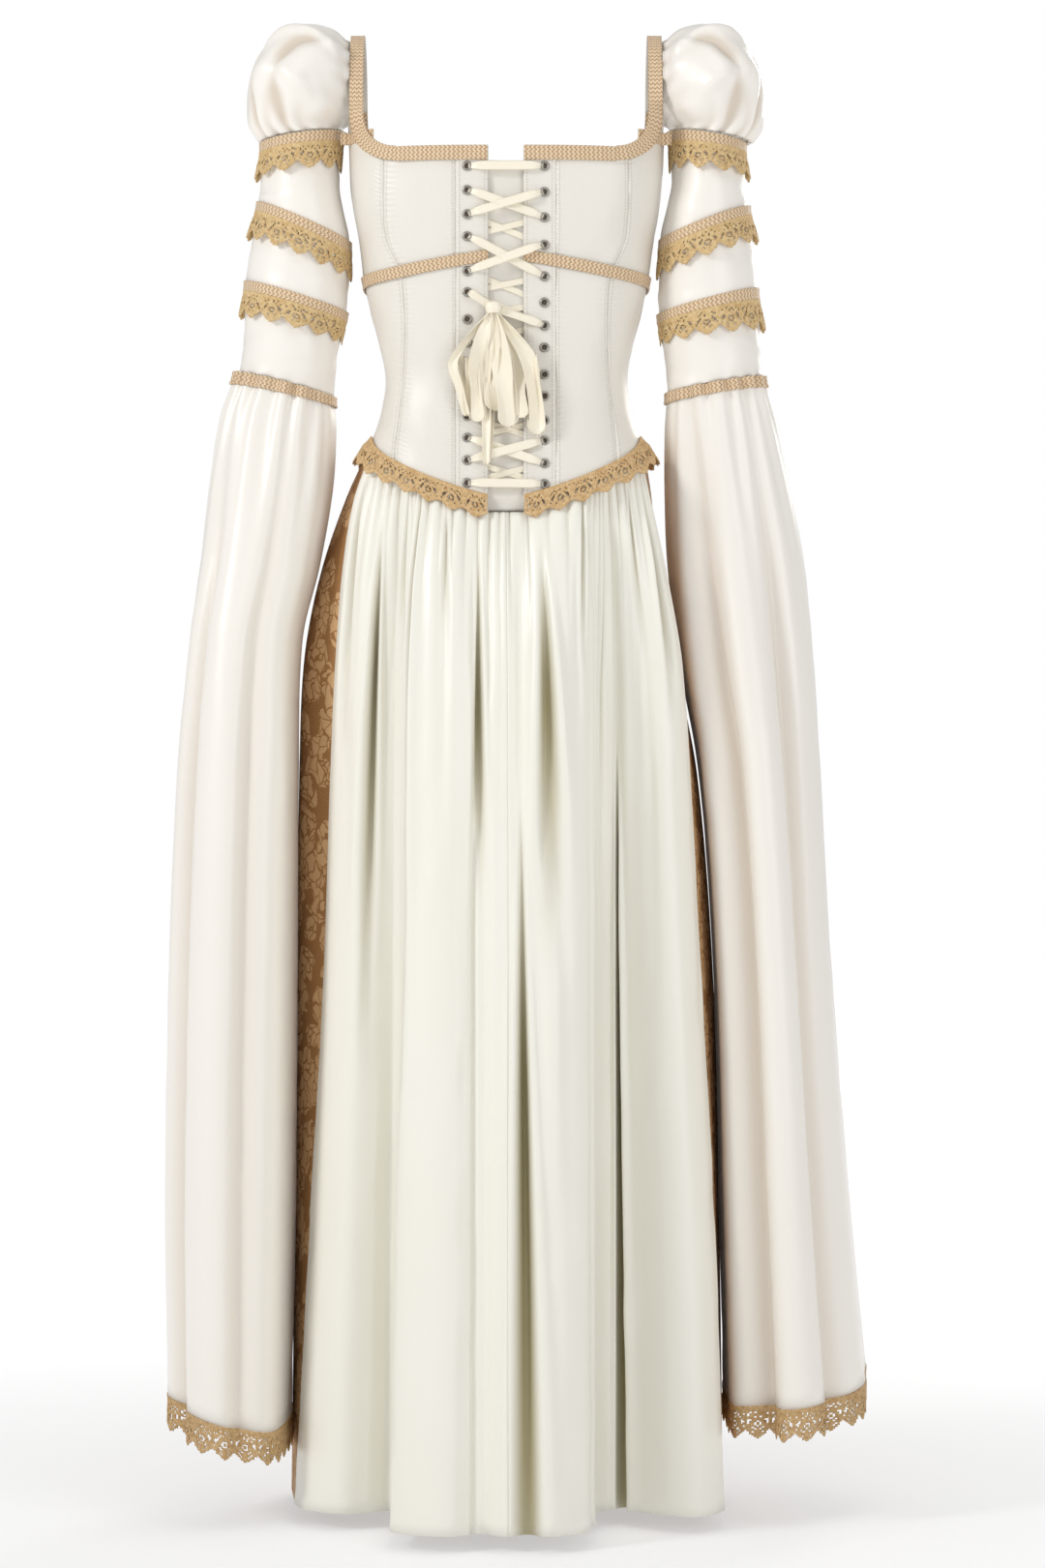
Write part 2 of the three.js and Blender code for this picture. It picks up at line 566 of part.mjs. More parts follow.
// Lace round the basque: it lies on the bodice's edge and stands out over the gathered skirt
const WAIST_LACE_COLUMNS = 36;
const WAIST_LACE_ABOVE = 9;
const WAIST_LACE_DROP = 32;
const SKIRT_STEP = 3.4;
function waistLace(name, side) {
  const labels = evenly(0.012, 4.99, WAIST_LACE_COLUMNS);
  const surface = (label, v) => {
    const edge = basque(xAt(label, HIP_LEVEL));
    const tooth = labels.indexOf(label) % 2 === 1 ? 0 : SCALLOP_DEPTH;
    const drop = v * (WAIST_LACE_DROP - tooth);
    const host = torso(side, label, Math.max(edge + WAIST_LACE_ABOVE - drop, edge));
    const past = Math.max(drop - WAIST_LACE_ABOVE, 0);
    const flare = SKIRT_STEP * smooth(drop / WAIST_LACE_ABOVE) + past * (0.42 + 0.2 * smooth((label - 1.5) / 1.5));
    host.point.z = edge + WAIST_LACE_ABOVE - drop;
    host.point.addScaledVector(host.out, flare);
    return host;
  };
  const lift = BODICE_THICK / 2 + LAY_GAP + 0.8;
  addPiece(name, wall(surface, labels, [0, 0.38, 1], lift, lift + LACE_THICK), guipure);
}

// The skirt. A waist place is a torso point on the bodice's lower edge.
function waistByX(x) {
  const size = Math.abs(x);
  const z = size < OPENING_HALF + 1 ? SKIRT_TOP : basque(size) - WAIST_GAP;
  const { point, out } = torsoByX(Math.sign(x) || 1, size, z, false);
  return point.addScaledVector(out, BODICE_THICK / 2);
}

function spread(down, leftShare, early) {
  const slow = THREE.MathUtils.lerp(
    readTable(spreadRows, 'down', down, 'slowRight'),
    readTable(spreadRows, 'down', down, 'slowLeft'),
    leftShare,
  );
  const quick = THREE.MathUtils.lerp(
    readTable(spreadRows, 'down', down, 'quickRight'),
    readTable(spreadRows, 'down', down, 'quickLeft'),
    leftShare,
  );
  return { x: THREE.MathUtils.lerp(slow, quick, early), y: readTable(spreadRows, 'down', down, 'depth') };
}

const foldIndex = backSkirtFolds.map((fold, index) => ({ ...fold, index }));
const GATHER_HIGH = 1.5;
const GATHER_FADE = 0.16;
const SKIRT_ROWS = [0, 0.045, 0.12, 0.25, 0.45, 0.7, 1];

// Back skirt by share of its width (-1 left edge, 1 right edge) and share of its length
function backSkirtPoint(share, down) {
  const place = ((share + 1) / 2) * (backSkirtFolds.length - 1);
  const waistX = readTable(foldIndex, 'index', place, 'waist');
  const hemX = readTable(foldIndex, 'index', place, 'hemX');
  const hemY = readTable(foldIndex, 'index', place, 'hemY');
  const waist = waistByX(waistX);
  const out = spread(down, (1 - share) / 2, 0);
  return new THREE.Vector3(
    THREE.MathUtils.lerp(waist.x, hemX, out.x),
    THREE.MathUtils.lerp(waist.y, hemY, out.y),
    THREE.MathUtils.lerp(waist.z, HEM_LEVEL, down),
  );
}

function backSkirt(share, down) {
  const rough = new THREE.Vector3(share * 0.8, -1, 0);
  const out = wayOut(backSkirtPoint, share, THREE.MathUtils.clamp(down, 0.02, 0.98), 0.012, 0.01, rough);
  out.z = 0;
  out.normalize();
  return { point: backSkirtPoint(share, down), out };
}

const BACK_COLUMNS = 26;
function skirtBack(name, side) {
  const across = evenly(0, 1, BACK_COLUMNS).map((share) => side * Math.max(share, 0.0012));
  const surface = (share, down) => {
    const host = backSkirt(share, down);
    const column = Math.round(Math.abs(share) * BACK_COLUMNS);
    const fade = Math.exp(-down / GATHER_FADE) * smooth((1 - Math.abs(share)) / 0.05);
    host.point.addScaledVector(host.out, (column % 2 === 0 ? 1 : -1) * GATHER_HIGH * fade);
    return host;
  };
  addPiece(name, wall(surface, across, SKIRT_ROWS, -SATIN_THICK / 2, SATIN_THICK / 2), satin);
}

// The lace skirt starts under each satin edge, from the satin's own points moved in
function laceSkirtRing(down) {
  const ring = [];
  const tuck = (share) => {
    const host = backSkirt(share, down);
    return host.point.addScaledVector(host.out, -TUCK_UNDER);
  };
  for (const share of TUCK_SHARES) ring.push(tuck(-share));
  for (const fold of laceSkirtFolds) {
    const angle = fold.turn * Math.PI;
    const first = torsoAt(fold.side, angle, SIDE_WAIST_LEVEL).point;
    const z = basque(Math.abs(first.x)) - WAIST_GAP;
    const waist = torsoAt(fold.side, angle, z).point;
    const out = spread(down, fold.side < 0 ? 1 : 0, fold.early);
    const x = THREE.MathUtils.lerp(waist.x, fold.hemX, out.x);
    const y = THREE.MathUtils.lerp(waist.y, fold.hemY, out.y);
    ring.push(new THREE.Vector3(x, y, THREE.MathUtils.lerp(z, HEM_LEVEL + 2, down)));
  }
  for (const share of [...TUCK_SHARES].reverse()) ring.push(tuck(share));
  return ring;
}

const ringCache = new Map();
function laceSkirtPoint(place, down) {
  if (!ringCache.has(down)) ringCache.set(down, new THREE.CatmullRomCurve3(laceSkirtRing(down), false, 'centripetal'));
  return ringCache.get(down).getPoint(THREE.MathUtils.clamp(place, 0, 1));
}

function laceSkirt(place, down) {
  const point = laceSkirtPoint(place, down);
  const rough = new THREE.Vector3(point.x, point.y + 20, 0);
  const inner = THREE.MathUtils.clamp(place, 0.004, 0.996);
  const out = wayOut(laceSkirtPoint, inner, THREE.MathUtils.clamp(down, 0.01, 0.99), 0.004, 0.01, rough);
  out.z = 0;
  out.normalize();
  return { point, out };
}

function skirtFront() {
  const columns = 28;
  const surface = (place, down) => {
    const host = laceSkirt(place, down);
    const column = Math.round(place * columns);
    const fade = Math.exp(-down / GATHER_FADE) * smooth((0.5 - Math.abs(place - 0.5) - 0.12) / 0.1);
    host.point.addScaledVector(host.out, (column % 2 === 0 ? 1 : -1) * GATHER_HIGH * fade);
    return host;
  };
  const geometry = wall(surface, evenly(0, 1, columns), SKIRT_ROWS, -LACE_THICK / 2, LACE_THICK / 2);
  addPiece('skirt_front_lace', geometry, floralLace);
}

// How far a turn round a sleeve lies towards its outer end: 1 there, 0 at the inner end
const outerShare = (turn) => (1 + Math.cos(turn * Math.PI * 2)) / 2;

// A ring between an inner and an outer end, with a half depth. Turn 0 is its outer end.
function ringAt(side, inner, outer, depth, middle, turn) {
  const angle = turn * Math.PI * 2;
  const centre = inner.clone().add(outer).multiplyScalar(0.5);
  const reach = outer.clone().sub(inner).multiplyScalar(0.5);
  const point = centre.clone().addScaledVector(reach, Math.cos(angle));
  point.y = middle + depth * Math.sin(angle);
  const out = reach.clone().multiplyScalar(Math.cos(angle) / reach.lengthSq());
  out.y = Math.sin(angle) / depth;
  out.normalize();
  point.x *= side;
  out.x *= side;
  return { point, out };
}

function sleeveRing(side, station, turn) {
  const rows = side < 0 ? sleeveRows.left : sleeveRows.right;
  const read = (name) => readTable(rows, 'down', station, name);
  const inner = new THREE.Vector3(read('innerX'), 0, read('innerZ'));
  const outer = new THREE.Vector3(read('outerX'), 0, read('outerZ'));
  const host = ringAt(side, inner, outer, read('depth'), read('middle'), turn);
  host.point.z += read('slope') * Math.sin(turn * Math.PI * 2);
  return host;
}

const PUFF_COLUMNS = 24;
function puff(name, side) {
  const surface = (turn, swing) => {
    const read = (key) => readTable(puffRows, 'swing', swing, key);
    const angle = THREE.MathUtils.degToRad(swing);
    const spoke = new THREE.Vector3(Math.sin(angle), 0, Math.cos(angle));
    const pivot = new THREE.Vector3(PUFF_PIVOT.x, 0, PUFF_PIVOT.z);
    const inner = pivot.clone().addScaledVector(spoke, PUFF_NEAR);
    const outer = pivot.clone().addScaledVector(spoke, read('reach'));
    const host = ringAt(side, inner, outer, read('depth'), read('middle'), turn);
    const ends = Math.exp(-(PUFF_END - swing) / 14) + Math.exp(-swing / 9);
    const high = PUFF_GATHER * ends * smooth(outerShare(turn) * 2.2);
    const column = Math.round(turn * PUFF_COLUMNS);
    host.point.addScaledVector(host.out, column % 2 === 0 ? high : -high);
    if (swing < 1) host.point.x = side * ARMHOLE_X;
    return host;
  };
  const turns = evenly(0, 1, PUFF_COLUMNS).slice(0, PUFF_COLUMNS);
  const swings = [0, 8, 24, 44, 66, 85, PUFF_END];
  addPiece(name, wall(surface, turns, swings, -SATIN_THICK / 2, SATIN_THICK / 2, true), satin);
}

const SLEEVE_COLUMNS = 20;
const sleeveTurns = evenly(0, 1, SLEEVE_COLUMNS).slice(0, SLEEVE_COLUMNS);
function upperSleeve(name, side, bands) {
  const end = bands[3];
  const stations = [];
  for (const band of bands.slice(0, 3)) {
    stations.push(band, band + SLEEVE_BRAID);
    if (band !== bands[1]) stations.push(band + SLEEVE_LACE_DROP);
  }
  stations[0] += PUFF_SEAM;
  stations.push(end - SEAM_GAP);
  const surface = (turn, station) => sleeveRing(side, station, turn);
  addPiece(name, wall(surface, sleeveTurns, stations, -SATIN_THICK / 2, SATIN_THICK / 2, true), satin);
}

function sleeveBraid(name, side, station) {
  const lift = SATIN_THICK / 2 + TRIM_GAP;
  const surface = (turn, v) => sleeveRing(side, station + v, turn);
  const geometry = wall(surface, sleeveTurns, [SLEEVE_BRAID_TOP, SLEEVE_BRAID], lift, lift + BRAID_THICK, true);
  addPiece(name, geometry, braidCord);
}

// Scalloped lace that hangs from a braid and stands off the sleeve towards its points
function sleeveLace(name, side, station) {
  const lift = SATIN_THICK / 2 + TRIM_GAP + 0.1;
  const top = SLEEVE_BRAID + SEAM_GAP;
  const surface = (turn, v) => {
    const column = Math.round(turn * SLEEVE_COLUMNS);
    const drop = top + v * (SLEEVE_LACE_DROP - top - (column % 2 === 0 ? 0 : SCALLOP_DEPTH));
    const host = sleeveRing(side, station + drop, turn);
    const stand = LACE_STAND_INNER + LACE_STAND_OUTER * smooth(outerShare(turn) * 1.6);
    host.point.addScaledVector(host.out, v * stand);
    return host;
  };
  addPiece(name, wall(surface, sleeveTurns, [0, 1], lift, lift + LACE_THICK, true), guipure);
}

const BELL_COLUMNS = 32;
const bellTurns = evenly(0, 1, BELL_COLUMNS).slice(0, BELL_COLUMNS);
function bellRelief(side, station, turn, top, end) {
  const share = THREE.MathUtils.clamp((station - top) / (end - top), 0, 1);
  const column = Math.round(turn * BELL_COLUMNS);
  const gather = BELL_GATHER * Math.exp(-share / BELL_FADE) * smooth(outerShare(turn) * 3 + 0.15);
  let high = (column % 2 === 0 ? 1 : -1) * gather;
  for (const fold of bellFolds[side < 0 ? 'left' : 'right']) {
    const away = Math.min(Math.abs(turn - fold.turn), 1 - Math.abs(turn - fold.turn));
    high += fold.high * Math.exp(-((away / fold.width) ** 2)) * smooth(share / 0.55 + 0.1);
  }
  return high;
}

function bellSurface(side, bands) {
  const rows = side < 0 ? sleeveRows.left : sleeveRows.right;
  const end = rows[rows.length - 1].down;
  return (turn, station) => {
    const host = sleeveRing(side, station, turn);
    host.point.addScaledVector(host.out, bellRelief(side, station, turn, bands[3], end));
    return host;
  };
}

function bell(name, side, bands) {
  const surface = bellSurface(side, bands);
  const rows = side < 0 ? sleeveRows.left : sleeveRows.right;
  const end = rows[rows.length - 1].down;
  const top = bands[3];
  const stations = [top, top + SLEEVE_BRAID, top + 60, top + 150, top + 330, top + 640, end];
  addPiece(name, wall(surface, bellTurns, stations, -SATIN_THICK / 2, SATIN_THICK / 2, true), satin);
}

function bellBraid(name, side, bands) {
  const surface = bellSurface(side, bands);
  const lift = SATIN_THICK / 2 + TRIM_GAP;
  const stations = [bands[3], bands[3] + SLEEVE_BRAID];
  addPiece(name, wall(surface, bellTurns, stations, lift, lift + BRAID_THICK, true), braidCord);
}

// The hem lace hangs on from the satin's edge in line with it
function bellHemLace(name, side, bands) {
  const surface = bellSurface(side, bands);
  const rows = side < 0 ? sleeveRows.left : sleeveRows.right;
  const end = rows[rows.length - 1].down;
  const scallop = (turn, v) => {
    const column = Math.round(turn * BELL_COLUMNS);
    const tooth = column % 2 === 0 ? 0 : SCALLOP_DEPTH;
    const host = surface(turn, end);
    host.point.z -= SEAM_GAP + 0.3 + v * (HEM_LACE_DROP - tooth);
    return host;
  };
  const geometry = wall(scallop, bellTurns, [0, 1], -LACE_THICK / 2, LACE_THICK / 2, true);
  addPiece(name, geometry, guipure);
}

// A ribbon along a path of points: a flat section carried along, with its width direction
function ribbonAlong(points, widths, across, thick) {
  const curve = new THREE.CatmullRomCurve3(points, false, 'centripetal');
  const steps = widths.length - 1;
  const sample = (v) => curve.getPoint(THREE.MathUtils.clamp(v, 0, 1));
  const surface = (u, v) => {
    const along = sample(v + 0.02).sub(sample(v - 0.02)).normalize();
    const out = across.clone().cross(along).normalize();
    const width = readTable(widths.map((w, i) => ({ at: i / steps, w })), 'at', v, 'w');
    return { point: sample(v).addScaledVector(across, u * width), out };
  };
  return wall(surface, [-0.5, 0.5], evenly(0, 1, steps), -thick / 2, thick / 2);
}

function backY(x, z) {
  return torsoByX(1, Math.abs(x), z, false).point.y;
}

// The lacing crosses between the eyelets, with a level run at the top and at the bottom
const RIBBON_WIDE = 7;
const RIBBON_THICK = 1;
const RIBBON_LIFT = 5.4;
function lacing() {
  let solid = null;
  const addRun = (fromX, fromZ, toX, toZ, lift, bulge) => {
    const points = evenly(0, 1, 2).map((t) => {
      const x = THREE.MathUtils.lerp(fromX, toX, t);
      const z = THREE.MathUtils.lerp(fromZ, toZ, t);
      return new THREE.Vector3(x, backY(x, z) - lift - bulge * Math.sin(t * Math.PI), z);
    });
    const way = new THREE.Vector3(toZ - fromZ, 0, fromX - toX).normalize();
    const run = toSolid(ribbonAlong(points, [RIBBON_WIDE, RIBBON_WIDE], way, RIBBON_THICK));
    solid = solid ? solid.add(run) : run;
  };
  const reach = EYELET_X - 2.5;
  const { left, right } = eyeletRows;
  addRun(-reach, left[0], reach, right[0], RIBBON_LIFT, 0);
  for (let i = 0; i < left.length - 1; i += 1) {
    addRun(-reach, left[i], reach, right[i + 1], RIBBON_LIFT, 0);
    addRun(-reach, left[i + 1], reach, right[i], RIBBON_LIFT, 0.5);
  }
  addRun(-reach, left[left.length - 1], reach, right[right.length - 1], RIBBON_LIFT, 0);
  addPiece('lacing', fromSolid(solid.simplify(0.05)), ribbonSatin);
}

// The bow: loops and free ends that hang from one knot
const KNOT_RADIUS = 6.5;
const KNOT_STAND = 11;
const TAIL_STAND = 10;
const TAIL_START = 4;
const TAIL_THICK = 1.2;
const KNOT = { x: -12, z: -272 };
const bowTails = [
  { midX: -40, midZ: -305, endX: -55, endZ: -399, width: 11, stand: 9 },
  { midX: -28, midZ: -338, endX: -22, endZ: -411, width: 14, stand: 15 },
  { midX: -10, midZ: -338, endX: -4, endZ: -419, width: 15, stand: 17 },
  { midX: 8, midZ: -333, endX: 10, endZ: -415, width: 14, stand: 14 },
  { midX: 22, midZ: -323, endX: 26, endZ: -425, width: 14, stand: 15 },
];
function bow() {
  const knotY = backY(KNOT.x, KNOT.z) - KNOT_STAND;
  const knot = new THREE.SphereGeometry(KNOT_RADIUS, 8, 5);
  knot.scale(1.2, 0.75, 1);
  knot.translate(KNOT.x, knotY, KNOT.z);
  let solid = toSolid(knot);
  for (const tail of bowTails) {
    const endY = backY(tail.endX, tail.endZ) - TAIL_STAND;
    const midY = backY(tail.midX, tail.midZ) - tail.stand;
    const points = [
      new THREE.Vector3(KNOT.x, knotY, KNOT.z),
      new THREE.Vector3((KNOT.x + tail.midX) / 2, (knotY + midY) / 2 - 2, (KNOT.z + tail.midZ) / 2 + 4),
      new THREE.Vector3(tail.midX, midY, tail.midZ),
      new THREE.Vector3((tail.midX + tail.endX) / 2, midY + 1, (tail.midZ + tail.endZ) / 2),
      new THREE.Vector3(tail.endX, endY, tail.endZ),
    ];
    const widths = [TAIL_START, tail.width, tail.width, tail.width, tail.width];
    solid = solid.add(toSolid(ribbonAlong(points, widths, new THREE.Vector3(1, 0, 0), TAIL_THICK)));
  }
  addPiece('bow', fromSolid(solid), ribbonSatin);
}

for (const [label, side] of [['left', -1], ['right', 1]]) {
  const bands = bandStations[label];
  placket(`placket_${label}`, side, eyeletRows[label]);
  panel(`upper_back_${label}`, side, 1, 2, 4, 3, true);
  panel(`upper_side_back_${label}`, side, 2, 3, 8, 3, true);
  panel(`upper_side_front_${label}`, side, 3, 4, 8, 3, true);
  panel(`lower_back_${label}`, side, 1, 2, 4, 5, false);
  panel(`lower_side_back_${label}`, side, 2, 3, 4, 5, false);
  panel(`lower_side_front_${label}`, side, 3, 4, 4, 5, false);
  strap(`strap_${label}`, side);
  neckBraid(`neck_braid_${label}`, side);
  underbustBraid(`underbust_braid_${label}`, side);
  waistLace(`waist_lace_${label}`, side);
  skirtBack(`skirt_back_${label}`, side);
  puff(`puff_${label}`, side);
  upperSleeve(`sleeve_${label}`, side, bands);
  for (const [index, station] of bands.slice(0, 3).entries()) {
    sleeveBraid(`sleeve_braid_${index + 1}_${label}`, side, station);
    sleeveLace(`sleeve_lace_${index + 1}_${label}`, side, station);
  }
  bell(`bell_${label}`, side, bands);
  bellBraid(`sleeve_braid_4_${label}`, side, bands);
  bellHemLace(`bell_hem_lace_${label}`, side, bands);
}
centreFront('upper_front', true);
centreFront('lower_front', false);
modestyPanel();
frontNeckBraid();
skirtFront();
lacing();
bow();

export default dress;
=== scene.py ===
"""Corset dress seen from its laced back: satin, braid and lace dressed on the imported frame.

Sizes are in millimetres, as the dress was cut, and turn to metres where a mesh is made.
"""
import logging
import math
from dataclasses import dataclass, replace
from enum import Enum
from typing import Callable, Optional

import bpy
import numpy as np
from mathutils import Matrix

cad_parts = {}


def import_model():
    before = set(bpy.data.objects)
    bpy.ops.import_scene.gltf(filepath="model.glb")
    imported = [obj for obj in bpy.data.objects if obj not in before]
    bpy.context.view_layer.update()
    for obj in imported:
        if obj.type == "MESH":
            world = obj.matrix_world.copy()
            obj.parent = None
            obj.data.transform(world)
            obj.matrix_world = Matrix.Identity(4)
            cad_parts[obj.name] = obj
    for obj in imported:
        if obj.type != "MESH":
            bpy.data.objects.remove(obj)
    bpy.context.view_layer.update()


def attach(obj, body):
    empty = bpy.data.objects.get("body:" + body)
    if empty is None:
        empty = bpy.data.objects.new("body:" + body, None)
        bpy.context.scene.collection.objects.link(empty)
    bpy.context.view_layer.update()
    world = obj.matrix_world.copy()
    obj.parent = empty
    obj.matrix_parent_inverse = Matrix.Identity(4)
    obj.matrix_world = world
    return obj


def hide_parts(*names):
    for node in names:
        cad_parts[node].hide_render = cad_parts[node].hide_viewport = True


LOG = logging.getLogger("dress")
MM = 0.001
TURN = 2 * math.pi
Array = np.ndarray
Surface = Callable[[Array, Array], tuple]
Material = bpy.types.Material
Socket = bpy.types.NodeSocket


class Side(Enum):
    """The two sides of the dress, by the sign of X."""

    LEFT = -1
    RIGHT = 1

    @property
    def word(self) -> str:
        """Name of the side as the frame's nodes spell it."""
        return self.name.lower()


class Held(Enum):
    """Ways in which a sheet of cloth is held."""

    HUNG = "hung"
    GATHERED = "gathered"
    STRETCHED = "stretched"


class Slot(Enum):
    """Material slots of the record."""

    BODICE = "satin_bodice"
    SKIRT = "satin_skirt"
    SLEEVE = "satin_sleeve"
    BRAID = "gold_braid"
    GUIPURE = "guipure_lace"
    FLORAL = "floral_lace"
    RIBBON = "lacing_ribbon"
    NICKEL = "nickel_eyelet"


@dataclass(frozen=True)
class Table:
    """A table with named columns, read along a smooth curve through its rows."""

    names: str
    rows: tuple

    def column(self, name: str) -> Array:
        """One column as an array."""
        return np.array(self.rows, dtype=float)[:, self.names.split().index(name)]

    def read(self, place: Array, name: str) -> Array:
        """Cubic curve through the rows, with the slope of the two neighbours at each row.

        Args:
            place: where to read, in the first column's unit.
            name: the column to read.

        Returns:
            The column's value at each place.
        """
        keys, values = self.column(self.names.split()[0]), self.column(name)
        order = np.argsort(keys)
        return hermite(keys[order], values[order], place)


def hermite(keys: Array, values: Array, place: Array) -> Array:
    """Cubic curve through values at rising keys, clamped at both ends.

    Args:
        keys: rising places of the rows.
        values: values of the rows; further axes are carried along.
        place: where to read.

    Returns:
        The values at each place.
    """
    place = np.clip(np.asarray(place, dtype=float), keys[0], keys[-1])
    i = np.clip(np.searchsorted(keys, place) - 1, 0, len(keys) - 2)
    back, ahead = np.maximum(np.arange(len(keys)) - 1, 0), np.minimum(np.arange(len(keys)) + 1, len(keys) - 1)
    gap = (keys[ahead] - keys[back]).reshape((-1,) + (1,) * (values.ndim - 1))
    slope = (values[ahead] - values[back]) / gap
    extra = (1,) * (values.ndim - 1)
    span = (keys[i + 1] - keys[i]).reshape(place.shape + extra)
    t = ((place - keys[i]) / (keys[i + 1] - keys[i])).reshape(place.shape + extra)
    t2, t3 = t * t, t * t * t
    bend = (t3 - 2 * t2 + t) * slope[i] + (t3 - t2) * slope[i + 1]
    return values[i] * (2 * t3 - 3 * t2 + 1) + values[i + 1] * (3 * t2 - 2 * t3) + bend * span


def ease(x: Array) -> Array:
    """Smooth step from 0 to 1."""
    t = np.clip(x, 0, 1)
    return t * t * (3 - 2 * t)


def bump(x: Array, width: float) -> Array:
    """Bell curve of height 1 and the given half width."""
    return np.exp(-((x / width) ** 2))


def unit(v: Array) -> Array:
    """Vectors scaled to length 1."""
    return v / np.maximum(np.linalg.norm(v, axis=-1, keepdims=True), 1e-9)


def xyz(x: Array, y: Array, z: Array) -> Array:
    """Points or ways from their three parts."""
    return np.stack([x, y, z], axis=-1)


def turns_of(count: int) -> Array:
    """Turns round a closed form, from 0 up to 1."""
    return np.linspace(0, 1, count, endpoint=False)


def waver(x: Array, seed: float) -> Array:
    """Slow uneven wave between about -1 and 1: three sines whose lengths share no common step."""
    waves = np.sin(x + seed) + 0.7 * np.sin(x * 1.73 + seed * 2.1) + 0.5 * np.sin(x * 2.91 + seed * 0.7)
    return waves / 2.2


# The torso: a rounded square plan of power 3, by height
TORSO_POWER = 3.0
TORSO = Table(
    "z half back front",
    (
        (-470, 150, 104, 108), (-450, 147, 102, 106), (-415, 139, 97, 99), (-400, 134, 93, 95),
        (-385, 127, 89, 91), (-360, 120, 83, 87), (-332, 117.5, 80, 85), (-300, 123, 82, 89),
        (-270, 131, 84, 94), (-235, 138.5, 87, 104), (-198, 143.5, 92, 121), (-165, 149, 95, 126),
        (-135, 152, 96, 118), (-100, 153.5, 96, 108), (-90, 155.5, 96, 105), (-80, 157, 96, 103),
    ),
)
SEAMS = Table(
    "z placket princess front_princess",
    (
        (-460, 48, 109, 92), (-400, 48, 106, 84), (-332, 48, 99, 74), (-240, 48, 100, 88),
        (-200, 48, 116, 97), (-100, 48, 117, 103),
    ),
)
BASQUE = Table("x z", ((0, -462), (22, -460), (65, -446), (96, -432), (126, -414), (140, -400)))
NECK_TOP, ARMHOLE_LOW, STRAP_FOOT = -116.0, -100.0, -82.0
SKIRT_TOP, HEM_LEVEL = -469.5, -1430.0
OPENING_HALF, PLACKET_X = 17.0, 48.0
# Heights at which a label's distance from the middle is read for the two lower edges
UNDERBUST_Z, BASQUE_Z = -225.0, -430.0
# Half of the slit between the two tiers, under the underbust braid
TIER_GAP = 0.15
UNDERBUST_HIGH, UNDERBUST_FALL, SIDE_X = -221.0, 20.0, 140.0
# Wave lengths of the pucker along a seam, and of a braid's plait along and across it
PUCKER_STEP, PLAIT_STEP, PLAIT_ROW = 5.2, 4.2, 5.0
CORNER_X, STRAP_MIDDLE, STRAP_HALF = 105.0, 145.0, 6.6
CORNER_RADIUS = STRAP_FOOT - NECK_TOP
BODICE_SKIN = 1.3
EYELETS = {
    Side.LEFT: (-136, -159, -182, -203, -236, -256, -282, -304, -329, -352, -376, -397, -419, -441),
    Side.RIGHT: (-136, -161, -185, -211, -241, -266, -288, -309, -335, -356, -380, -400, -422, -442),
}
EYELET_X = 37.0
EYELET_STEPS = 24
# Distance from a seam, in millimetres, that stands for no seam near
NO_SEAM = 99.0
UP, TO_VIEWER = np.array([0.0, 0.0, 1.0]), np.array([0.0, -1.0, 0.0])


